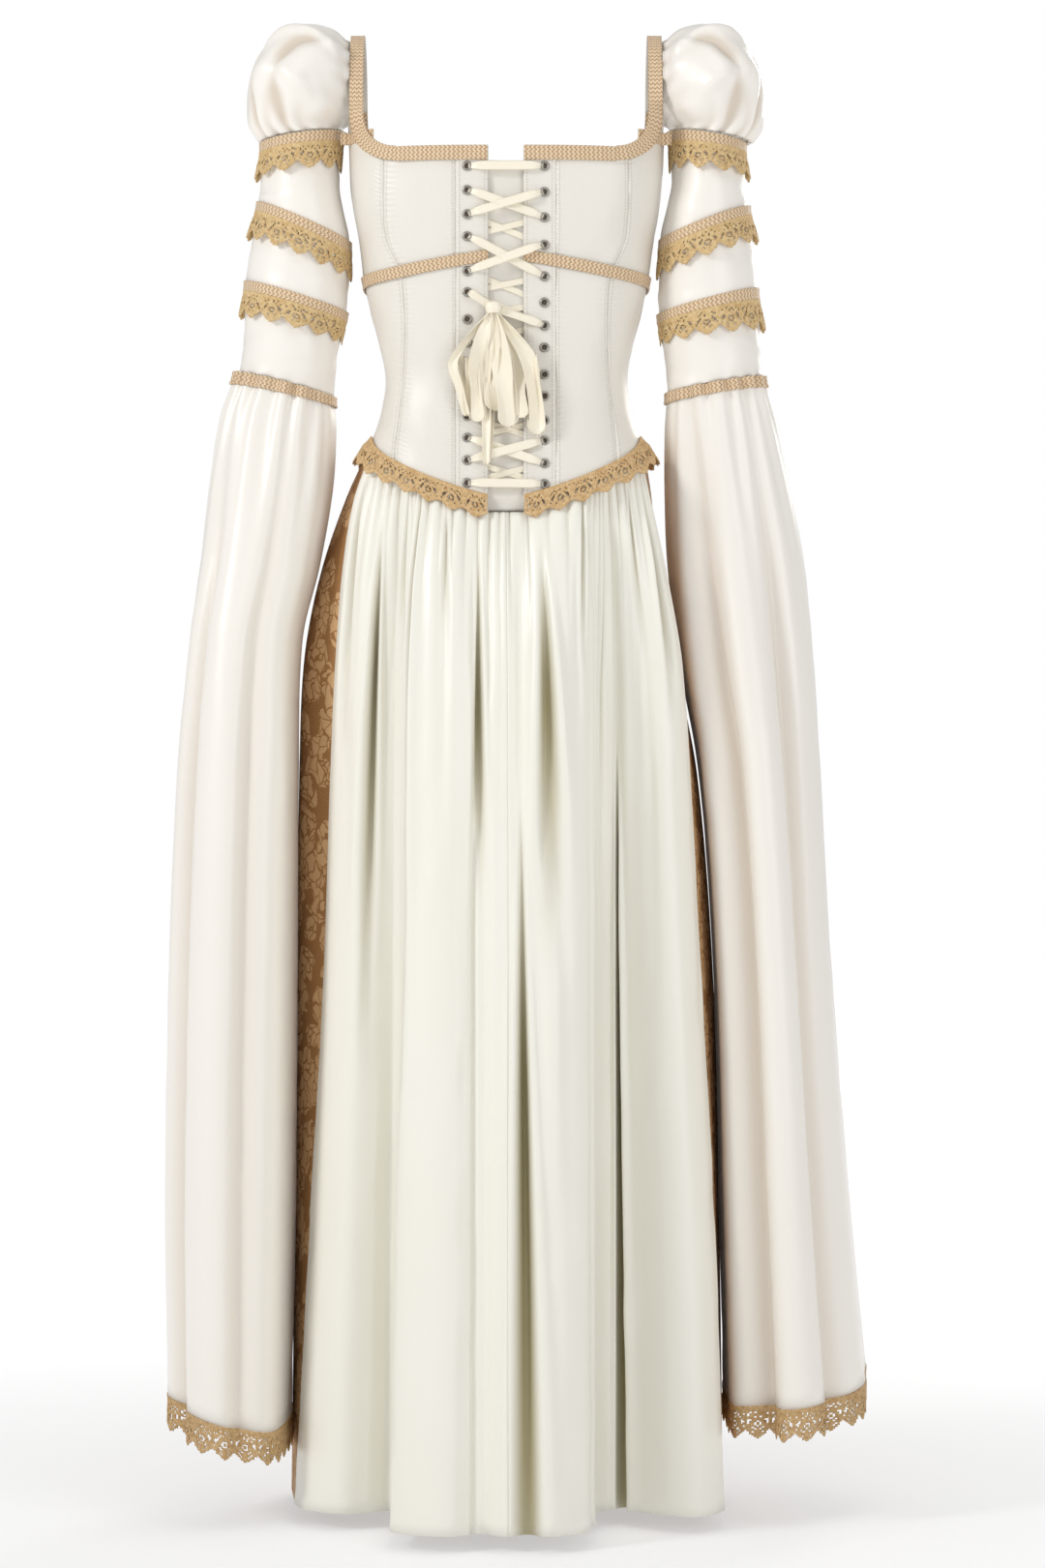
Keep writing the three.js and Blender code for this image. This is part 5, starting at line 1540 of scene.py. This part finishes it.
# The puff's rings: end of their swing, the point that they swing about, and the armhole's place
PUFF_END, PUFF_PIVOT, ARMHOLE_X = 98.2, (155.0, 0.0, -89.5), 152.2
PUFF = Table(
    "swing reach depth middle",
    (
        (0, 84.5, 48, -5), (9, 100, 58, -6), (28, 115, 67, -7), (40, 116, 70, -8), (52, 113, 70, -8),
        (64, 107, 66, -8), (76, 101, 59, -8), (88, 95, 50, -8), (PUFF_END, 84, 45, -8),
    ),
)
SLEEVE_COLUMNS = "down inner_x inner_z outer_x outer_z depth middle slope"
SLEEVE = {
    Side.LEFT: Table(
        SLEEVE_COLUMNS,
        (
            (96, 160, -91, 239, -102, 45, -8, 0), (144, 164, -142, 240, -146, 49, -8, 0),
            (179, 154, -198, 242, -160, 50, -8, 0), (252, 157, -267, 254, -237, 48, -8, 0),
            (300, 166, -308, 256, -285, 46, -8, 0), (339, 169, -351, 261, -327, 44, -8, 0),
            (376, 167, -383, 276, -369, 50, -8, 0), (435, 170, -440, 286, -430, 58, -9, 0),
            (511, 183, -516, 294, -506, 66, -10, 1), (583, 200, -588, 303, -578, 76, -10, 2),
            (716, 204, -720, 314, -711, 90, -10, 4), (900, 205, -910, 322, -891, 104, -10, 7),
            (1138, 207, -1148, 326, -1129, 114, -10, 10), (1331, 211, -1345, 323, -1317, 112, -10, 13),
        ),
    ),
    Side.RIGHT: Table(
        SLEEVE_COLUMNS,
        (
            (96, 160, -91, 233, -102, 45, -8, 0), (144, 162, -142, 233, -146, 49, -8, 0),
            (180, 152, -196, 237, -164, 50, -8, 0), (256, 150, -269, 245, -244, 48, -8, 0),
            (300, 155, -306, 248, -294, 46, -8, 0), (339, 158, -347, 249, -331, 44, -8, 0),
            (378, 156, -384, 260, -372, 50, -2, 0), (441, 156, -447, 274, -435, 56, 4, 0),
            (511, 159, -516, 288, -506, 64, 10, 1), (599, 170, -606, 296, -592, 76, 12, 2),
            (716, 190, -721, 302, -711, 90, 12, 4), (903, 204, -910, 312, -896, 104, 12, 7),
            (1139, 210, -1149, 330, -1129, 114, 12, 10), (1315, 214, -1322, 347, -1308, 112, 12, 13),
        ),
    ),
}
BANDS = {Side.LEFT: (96.0, 179.0, 252.0, 339.0), Side.RIGHT: (96.0, 180.0, 256.0, 339.0)}
# Long folds of the bells: turn round the sleeve, width, height
BELL_FOLDS = {
    Side.LEFT: (
        (0.04, 0.06, 6), (0.13, 0.03, -8), (0.21, 0.05, 6), (0.36, 0.07, 5), (0.65, 0.06, 5),
        (0.715, 0.03, -7), (0.81, 0.08, 5), (0.885, 0.018, -9), (0.925, 0.04, 6),
    ),
    Side.RIGHT: (
        (0.05, 0.05, 7), (0.14, 0.03, -8), (0.22, 0.06, 6), (0.34, 0.06, 7), (0.62, 0.045, 8),
        (0.675, 0.03, -13), (0.75, 0.06, 9), (0.835, 0.022, -9), (0.91, 0.07, 6),
    ),
}


@dataclass
class Sleeve:
    """One sleeve: puffed head, banded upper sleeve and long gathered bell."""

    finishes: Finishes
    side: Side
    braid_wide: float = 11.0
    lace_drop: float = 38.0
    hem_drop: float = 32.0
    cloth_wall: float = 0.9
    braid_wall: float = 1.3
    braid_rows: int = 8
    fold_gain: float = 1.5
    puff_creases: tuple = (
        Crease(60, 20, 95, 110, 8, 5.0),
        Crease(150, 30, 120, 120, 7, -4.5),
        Crease(205, 20, 240, 115, 9, 4.5),
        Crease(300, 15, 270, 110, 8, -4.5),
        Crease(20, 30, 55, 90, 7, -4.0),
        Crease(250, 60, 330, 80, 9, 4.0),
        Crease(280, 10, 335, 60, 6, 4.0),
        Crease(340, 40, 310, 110, 7, -4.0),
    )

    @staticmethod
    def ring(side: float, inner: Array, outer: Array, depth: Array, middle: Array, turn: Array) -> tuple:
        """Ellipse between an inner and an outer end: centre + reach cos + depth sin in Y.

        Args:
            side: -1 or 1.
            inner: inner ends, on the right side.
            outer: outer ends, on the right side.
            depth: half of its depth in Y.
            middle: Y of its middle.
            turn: turn round it, 0 at the outer end.

        Returns:
            Points and unit ways out.
        """
        angle = turn * TURN
        centre, reach = (inner + outer) / 2, (outer - inner) / 2
        point = centre + reach * np.cos(angle)[..., None]
        point[..., 1] = middle + depth * np.sin(angle)
        out = reach * (np.cos(angle) / (reach**2).sum(-1))[..., None]
        out[..., 1] = np.sin(angle) / depth
        flip = np.array([side, 1, 1])
        return point * flip, unit(out) * flip

    def ground(self, turn: Array, station: Array) -> tuple:
        """Sleeve form by turn round it and station down it.

        Args:
            turn: turn round it, 0 at the outer end.
            station: distance down it.

        Returns:
            Points and unit ways out.
        """
        table = SLEEVE[self.side]
        read = {name: table.read(station, name) for name in table.names.split()[1:]}
        zero = 0 * station
        inner = xyz(read["inner_x"], zero, read["inner_z"])
        outer = xyz(read["outer_x"], zero, read["outer_z"])
        point, out = self.ring(self.side.value, inner, outer, read["depth"], read["middle"], turn)
        point[..., 2] += read["slope"] * np.sin(turn * TURN)
        return point, out

    def puff(self) -> None:
        """The puffed head: rings that swing about the underarm, gathered at both ends."""
        side = self.side.value

        def surface(turn: Array, swing: Array) -> tuple:
            angle = np.radians(swing)
            spoke = xyz(np.sin(angle), 0 * angle, np.cos(angle))
            pivot = np.array(PUFF_PIVOT)
            outer = pivot + spoke * PUFF.read(swing, "reach")[..., None]
            depth, middle = PUFF.read(swing, "depth"), PUFF.read(swing, "middle")
            point, out = self.ring(side, pivot + spoke * 5, outer, depth, middle, turn)
            shift = (np.abs(point[..., 0]) - ARMHOLE_X) * np.exp(-swing / 0.8) * (swing < 1)
            point[..., 0] -= side * shift
            return point, out

        turns, swings = turns_of(150), np.linspace(0, PUFF_END, 56)
        grid = spread_grid(surface, turns, swings, True)
        share = grid.u / grid.u.max()
        swing = grid.v / grid.v.max() * PUFF_END
        outer = ease((1 + np.cos(share * TURN)) / 2 * 2.2)
        wave = np.cos(TURN * (share * 17 + 0.12 * waver(share * 19, 0.4 * side)))
        low = wave * (1 + 0.4 * waver(share * 23, 1.0)) * np.exp(-(PUFF_END - swing) / 15) * 2.6
        head = np.cos(TURN * share * 13) * np.exp(-swing / 11) * 2.0
        relief = outer * (low + head + 1.3 * creased(grid.u, grid.v, self.puff_creases))
        grid = grid.lifted(relief)
        # Painted shade in the creases and between the gathers, where the cloth lies low
        grid.painted_shade = 0.75 * np.clip((0.2 - relief) / 4.5, 0, 1)
        self.finishes.sleeve.sew(grid, f"puff_{self.side.word}", self.cloth_wall)

    def upper(self) -> None:
        """The close upper sleeve between the bands, with soft pulls across it."""
        first, last = BANDS[self.side][0] + 0.1, BANDS[self.side][3] - 0.3
        turns = turns_of(96)
        grid = spread_grid(self.ground, turns, np.linspace(first, last, 84), True)
        seed = 0.7 * self.side.value
        pull = 0.7 * waver(grid.v / 17 + grid.u / 55, seed) + 0.4 * waver(grid.v / 8 - grid.u / 30, seed + 1)
        self.finishes.sleeve.sew(grid.lifted(pull * 1.3), f"sleeve_{self.side.word}", self.cloth_wall)

    def braid(self, number: int, surface: Surface, turns: Array, top: float, widths: tuple) -> None:
        """One braid round the sleeve.

        Args:
            number: its number from the top.
            surface: the form that it lies on.
            turns: turns round the sleeve.
            top: station of its upper edge.
            widths: where its rows start, its plait's width and its lift.
        """
        start, plait, lift = widths
        rows = top + np.linspace(start, self.braid_wide, self.braid_rows)
        grid = spread_grid(surface, turns, rows, True)
        grid = grid.lifted(lift + braid_relief(grid.u, plait, grid.v))
        self.finishes.braid.sew(grid, f"sleeve_braid_{number}_{self.side.word}", self.braid_wall)

    def bands(self) -> None:
        """Three braids, each over a scalloped lace that stands off the sleeve."""
        turns = turns_of(170)
        top = self.braid_wide - 1.0
        rows = np.linspace(top, self.lace_drop, 21)
        scallops = Scallops(self.lace_drop - top, 23.0, 9.0, 1.9)
        for number, station in enumerate(BANDS[self.side][:3], start=1):
            self.braid(number, self.ground, turns, station, (0.9, 10.0, 2.2))

            def lace(turn: Array, drop: Array) -> tuple:
                point, out = self.ground(turn, station + drop)
                share = ease((1 + np.cos(turn * TURN)) / 2 * 1.6)
                stand = (drop - top) / (self.lace_drop - top) * (0.6 + 4.2 * share)
                return point + out * stand[..., None], out

            grid = spread_grid(lace, turns_of(220), rows, True)
            scallops.sew(self.finishes.guipure, grid, f"sleeve_lace_{number}_{self.side.word}")

    def bell_ends(self) -> tuple:
        """Stations of the bell's top and hem."""
        return BANDS[self.side][3], SLEEVE[self.side].column("down")[-1]

    def bell_share(self, station: Array) -> Array:
        """Share of the bell's length at a station."""
        top, end = self.bell_ends()
        return np.clip((station - top) / (end - top), 0, 1)

    def bell_folds(self, turn: Array, share: Array, gains: Callable) -> Array:
        """Sum of the bell's long folds.

        Args:
            turn: turn round the sleeve.
            share: share of its length.
            gains: what a fold counts for, by its height.

        Returns:
            The sum at each place.
        """
        total = 0 * turn
        for place, width, tall in BELL_FOLDS[self.side]:
            away = np.abs(turn - place)
            total = total + gains(tall) * bump(np.minimum(away, 1 - away), width)
        return total * ease(share / 0.45 + 0.12)

    def bell_relief(self, turn: Array, station: Array) -> Array:
        """Height of the bell's cloth over its form: gathers under the braid, then long folds.

        Args:
            turn: turn round the sleeve.
            station: station down it.

        Returns:
            Height in millimetres.
        """
        share = self.bell_share(station)
        outer = (1 + np.cos(turn * TURN)) / 2
        wave = np.cos(TURN * (turn * 16 + 0.14 * waver(turn * 21, self.side.value)))
        crest = np.sign(wave) * np.abs(wave) ** 0.8
        close = 3.2 * crest * (1 + 0.4 * waver(turn * 37, 0.4)) * np.exp(-share / 0.09)
        wide = 1.6 * np.cos(TURN * (turn * 8 + 0.2)) * np.exp(-share / 0.35) * ease(share / 0.05)
        high = close * ease(outer * 3 + 0.15) + wide * ease(outer * 3)
        high = high + self.bell_folds(turn, share, lambda tall: self.fold_gain * tall)
        ripple = 0.8 * waver(share * 45 + turn * 13, 0.6) * waver(turn * 25 - share * 6, 1.9)
        return high + ripple * ease(share / 0.2)

    def bell_ground(self, turn: Array, station: Array) -> tuple:
        """The bell's own surface."""
        point, out = self.ground(turn, station)
        return point + out * self.bell_relief(turn, station)[..., None], out

    def bell(self) -> None:
        """The long bell, its gathering braid and its hem lace."""
        top, end = self.bell_ends()
        turns = turns_of(208)
        stations = top + (end - top) * ease_rows(94)
        grid = spread_grid(self.bell_ground, turns, stations, True)
        share = self.bell_share(stations[None, :])
        # Painted shade in the troughs of the long folds
        grid.painted_shade = 0.7 * self.bell_folds(turns[:, None], share, lambda tall: max(-tall, 0) / 16)
        self.finishes.sleeve.sew(grid, f"bell_{self.side.word}", self.cloth_wall)
        self.braid(4, self.bell_ground, turns, top, (0.0, self.braid_wide, 2.3))

        def lace(turn: Array, drop: Array) -> tuple:
            point, out = self.bell_ground(turn, 0 * drop + end)
            point[..., 2] -= drop
            return point, out

        rows = np.linspace(0.2, self.hem_drop, 23)
        grid = spread_grid(lace, turns_of(360), rows, True)
        scallops = Scallops(self.hem_drop, 24.5, 9.0, 0.3)
        scallops.sew(self.finishes.hem, grid, f"bell_hem_lace_{self.side.word}")

    def build(self) -> None:
        """Make the sleeve."""
        self.puff()
        self.upper()
        self.bands()
        self.bell()


@dataclass
class Lacing:
    """The cream ribbon: crossings between the eyelets, and the bow with its loops and ends."""

    finishes: Finishes
    width: float = 8.5
    lift: float = 5.2
    outside: tuple = (1, 3, 11)
    knot_x: float = -12.0
    knot_z: float = -272.0
    # How far a run behind the plackets reaches past the opening's edge
    overlap: float = 3.0
    wall: float = 0.5
    # Distances of the knot and of the ribbons' ends from the back, and the knot's own sizes
    knot_stand: float = 11.0
    end_stand: float = 9.0
    knot_wide: float = 7.5
    knot_deep: float = 5.0
    knot_tall: float = 11.0
    # Least width of a ribbon's cut, in metres
    least: float = 0.0101
    tails: Table = Table(
        "mid_x mid_z end_x end_z width stand twist",
        (
            (-18, -350, -19, -424, 7, 8, 0.2), (-50, -322, -36, -376, 9, 11, 0.8),
            (-15, -330, -11, -371, 17, 10, 0.5), (10, -332, 15, -378, 17, 10, -0.5),
            (-29, -326, -26, -382, 15, 14, -0.6), (21, -322, 30, -394, 15, 13, 0.7),
            (-3, -330, 1, -387, 17, 16, 0.45),
        ),
    )

    @staticmethod
    def back_y(x: Array, z: Array) -> Array:
        """Depth of the back at a place."""
        return TORSO_FORM.by_x(x, z)[0][..., 1]

    @staticmethod
    def turned(flat: Array, turn: Array) -> Array:
        """Ways across a ribbon that turns about its own length, towards the viewer."""
        return unit(flat * np.cos(turn)[:, None] + TO_VIEWER * np.sin(turn)[:, None])

    @staticmethod
    def strip(path: Array, across: Array, width: Array, t: Array, section: tuple) -> Grid:
        """A ribbon: a line across carried along a path, slightly cupped.

        Args:
            path: points along the ribbon.
            across: unit ways across it at those points.
            width: its width at those points.
            t: keys of those points.
            section: count of points across, and depth of its hollow.

        Returns:
            The ribbon's grid.
        """
        # section: count of points across, and depth of its cup.
        count, cup = section
        s = np.linspace(-0.5, 0.5, count)[:, None, None]
        along = unit(np.gradient(path, axis=0))
        out = unit(np.cross(across, along))
        out = np.where(out[..., 1:2] > 0, -out, out)
        point = path[None] + across[None] * s * width[None, :, None] + out[None] * cup * (4 * s * s)
        return fixed_grid(point, np.repeat(out[None], count, axis=0), np.arange(count), t)

    def run(self, a: tuple, b: tuple, lift: float, twist: float) -> Grid:
        """One ribbon from eyelet to eyelet that dips into both holes and turns a little on its way.

        Args:
            a: x and z of its first eyelet.
            b: x and z of its second eyelet.
            lift: height over the back at its middle.
            twist: turn about its own length at its middle.

        Returns:
            The ribbon's grid.
        """
        t = np.linspace(0, 1, 26)
        x, z = a[0] + (b[0] - a[0]) * t, a[1] + (b[1] - a[1]) * t
        ends = ease(np.minimum(t, 1 - t) / 0.12)
        y = self.back_y(x, z) - 1.2 - (lift - 1.2) * ends
        flat = unit(np.array([b[1] - a[1], 0.0, a[0] - b[0]]))
        across = self.turned(flat, twist * np.sin(math.pi * t))
        width = self.width * (0.55 + 0.45 * ease(np.minimum(t, 1 - t) / 0.2))
        return self.strip(xyz(x, y, z), across, width, t, (7, 0.5))

    def inside(self, heights: tuple, way: int, twist: float) -> Grid:
        """A run behind the plackets: only its stretch over the modesty panel is made.

        Args:
            heights: z at its left and its right eyelet.
            way: which of the pair it is, so that one lies over the other.
            twist: turn about its own length at its middle.

        Returns:
            The ribbon's grid.
        """
        half = OPENING_HALF + self.overlap
        middle, rise = (heights[0] + heights[1]) / 2, (heights[1] - heights[0]) / 2 * half / EYELET_X
        t = np.linspace(-1, 1, 22)
        x, z = half * t, middle + rise * t
        y = self.back_y(x, z) + 1.9 - (0.5 + 0.3 * way) * (1 - t * t)
        across = self.turned(unit(np.array([rise, 0.0, -half])), 0.5 * twist * np.cos(math.pi * t / 2))
        return self.strip(xyz(x, y, z), across, 0 * t + 6.0, t, (7, 0.2))

    def crossings(self) -> None:
        """All runs of the lacing, joined in one piece."""
        left, right = EYELETS[Side.LEFT], EYELETS[Side.RIGHT]
        reach = EYELET_X - 1.0
        grids = [self.run((-reach, left[0]), (reach, right[0]), self.lift, 0.1)]
        for i in range(1, len(left) - 1):
            wobble = 0.3 * math.sin(2.3 * i)
            if i in self.outside:
                grids.append(self.run((-reach, left[i]), (reach, right[i + 1]), self.lift, wobble))
                grids.append(self.run((reach, right[i]), (-reach, left[i + 1]), self.lift + 1.5, -wobble))
            else:
                grids.append(self.inside((left[i], right[i + 1]), -1, wobble))
                grids.append(self.inside((left[i + 1], right[i]), 1, -wobble))
        grids.append(self.run((-reach, left[-1]), (reach, right[-1]), self.lift + 0.8, 0.2))
        grids.append(self.run((-reach, left[5]), (self.knot_x, self.knot_z), self.lift + 2, 0.5))
        grids.append(self.run((reach, right[6]), (self.knot_x, self.knot_z), self.lift + 2, -0.5))
        self.join("lacing", grids)

    def join(self, name: str, grids: list) -> None:
        """Args:
            name: node that it replaces.
            grids: the ribbons.
        """
        parts = [grid.mesh(f"{name}_{i}", self.finishes.ribbon.finish, 0.0) for i, grid in enumerate(grids)]
        first = parts[0]
        with bpy.context.temp_override(active_object=first, selected_editable_objects=parts, object=first):
            bpy.ops.object.join()
        first.name = f"{name}_cloth"
        first.data.name = first.name
        add_wall(first, self.wall)
        sizes = [grid.flat_size() for grid in grids]
        width, area = max(size[0] for size in sizes), sum(size[2] for size in sizes)
        width = max(width, self.least)
        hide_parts(name)
        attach(first, "root")
        LOG.info("%s: %d ribbons, %.4f m2", name, len(grids), area)

    def off_back(self, x: float, z: float, stand: float) -> Array:
        """Point that stands off the back by a distance."""
        return np.array([x, float(self.back_y(x, z)) - stand, z])

    def tail(self, knot: Array, row: tuple) -> Grid:
        """One loop or free end: down from the knot, and back up behind itself.

        Args:
            knot: middle of the knot.
            row: its row of tails.

        Returns:
            Its grid.
        """
        mid_x, mid_z, end_x, end_z, width, stand, twist = row
        mid, end = self.off_back(mid_x, mid_z, stand), self.off_back(end_x, end_z, self.end_stand)
        lower = (mid + end) / 2 + TO_VIEWER
        behind = np.array([3.0 * np.sign(twist), 5.0, 6.0])
        start = (knot + mid) / 2 + (0, -3, 4)
        control = np.stack([knot, start, mid, lower, end, lower + behind, mid + behind])
        t = np.linspace(0, 6, 90)
        path = hermite(np.arange(7.0), control, t)
        across = self.turned(np.array([1.0, 0, 0]), twist * np.sin(t * 1.3 + 0.05 * mid_x))
        length = np.concatenate([[0.0], np.cumsum(np.linalg.norm(np.diff(path, axis=0), axis=1))])
        # Round end at the fold, whose key is 4
        radius = 0.55 * width
        inset = np.clip(radius - np.abs(length - np.interp(4.0, t, length)), 0.0, 0.93 * radius)
        swell = (0.3 + 0.7 * ease(t / 1.3)) * (1 + 0.14 * np.sin(2.6 * t + mid_x))
        return self.strip(path, across, 2 * np.sqrt(radius**2 - inset**2) * swell, t, (11, 2.6))

    def bow(self) -> None:
        """The knot, hanging loops and free ends of the bow."""
        knot = self.off_back(self.knot_x, self.knot_z, self.knot_stand)
        grids = [self.tail(knot, row) for row in self.tails.rows]
        turn, rise = np.meshgrid(np.linspace(0, TURN, 25), np.linspace(-0.5, 0.5, 9), indexing="ij")
        out = xyz(np.cos(turn), np.sin(turn), 0 * turn)
        bulge = 1 - rise * rise
        wide, deep = self.knot_wide * bulge, self.knot_deep * bulge
        point = knot + xyz(wide * np.cos(turn), deep * np.sin(turn), rise * self.knot_tall)
        grids.append(fixed_grid(point, out, np.arange(25), np.arange(9)))
        self.join("bow", grids)

    def build(self) -> None:
        """Make the lacing and the bow."""
        self.crossings()
        self.bow()


@dataclass(frozen=True)
class Studio:
    """Camera at the photograph's angle, soft light and a pale floor."""

    camera_place: tuple = (0.016, -4.5, -0.730)
    lens: float = 105.2
    floor_z: float = -1.446
    floor_half: float = 14.0
    # Name, place, aim, size in metres, power in watts
    lights: tuple = (
        ("key", (-3.1, -2.3, 1.3), (0, 0, -0.7), 1.0, 62),
        ("fill", (2.6, -3.2, 0.2), (0, 0, -0.8), 2.2, 26),
        ("top", (0.4, -1.2, 2.4), (0, 0, -0.5), 1.6, 12),
        ("front", (1.6, 3.2, 0.8), (0, 0, -0.7), 1.6, 34),
    )
    # World strength for light and for the background that the camera sees
    world: tuple = (0.46, 1.0)

    @staticmethod
    def place(name: str, data: object) -> bpy.types.Object:
        """Add an object to the scene."""
        item = bpy.data.objects.new(name, data)
        bpy.context.scene.collection.objects.link(item)
        return item

    def camera(self) -> None:
        """A level camera 4.5 m behind the dress that frames 1.54 m of height."""
        data = bpy.data.cameras.new("camera")
        data.lens, data.sensor_fit = self.lens, "VERTICAL"
        data.sensor_height = 36.0
        item = self.place("camera", data)
        item.location, item.rotation_euler = self.camera_place, (math.pi / 2, 0, 0)
        bpy.context.scene.camera = item

    def light(self, name: str, place: tuple, aim: tuple, size: float, power: float) -> None:
        """One soft area light that looks at a point."""
        data = bpy.data.lights.new(name, "AREA")
        data.shape, data.size, data.energy = "DISK", size, power
        item = self.place(name, data)
        item.location = place
        way = np.array(aim) - np.array(place)
        tilt = math.acos(-way[2] / np.linalg.norm(way))
        item.rotation_euler = (tilt, 0, math.atan2(way[1], way[0]) - math.pi / 2)

    def build(self, floor: Material) -> None:
        """Lights, world and floor.

        Args:
            floor: the floor's finish.
        """
        for row in self.lights:
            self.light(*row)
        world = bpy.data.worlds.new("studio")
        world.use_nodes = True
        nodes, links = world.node_tree.nodes, world.node_tree.links
        seen = nodes.new("ShaderNodeLightPath").outputs["Is Camera Ray"]
        power = nodes.new("ShaderNodeMapRange")
        power.inputs["To Min"].default_value, power.inputs["To Max"].default_value = self.world
        links.new(seen, power.inputs["Value"])
        links.new(power.outputs[0], nodes["Background"].inputs[1])
        nodes["Background"].inputs[0].default_value = (1, 1, 1, 1)
        bpy.context.scene.world = world
        bpy.context.scene.view_settings.view_transform = "Standard"
        mesh = bpy.data.meshes.new("floor")
        half = self.floor_half
        corners = [(x * half, y * half, self.floor_z) for x, y in ((-1, -1), (1, -1), (1, 1), (-1, 1))]
        mesh.from_pydata(corners, [], [(0, 1, 2, 3)])
        mesh.materials.append(floor)
        self.place("floor", mesh)


def main() -> None:
    """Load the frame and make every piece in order."""
    logging.basicConfig(level=logging.INFO, format="%(name)s: %(message)s")
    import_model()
    studio = Studio()
    studio.camera()
    finishes = Finishes.built()
    Bodice(finishes).build()
    Skirt(finishes).build()
    for side in Side:
        Sleeve(finishes, side).build()
    Lacing(finishes).build()
    studio.build(finishes.floor)


if __name__ == "__main__":
    main()
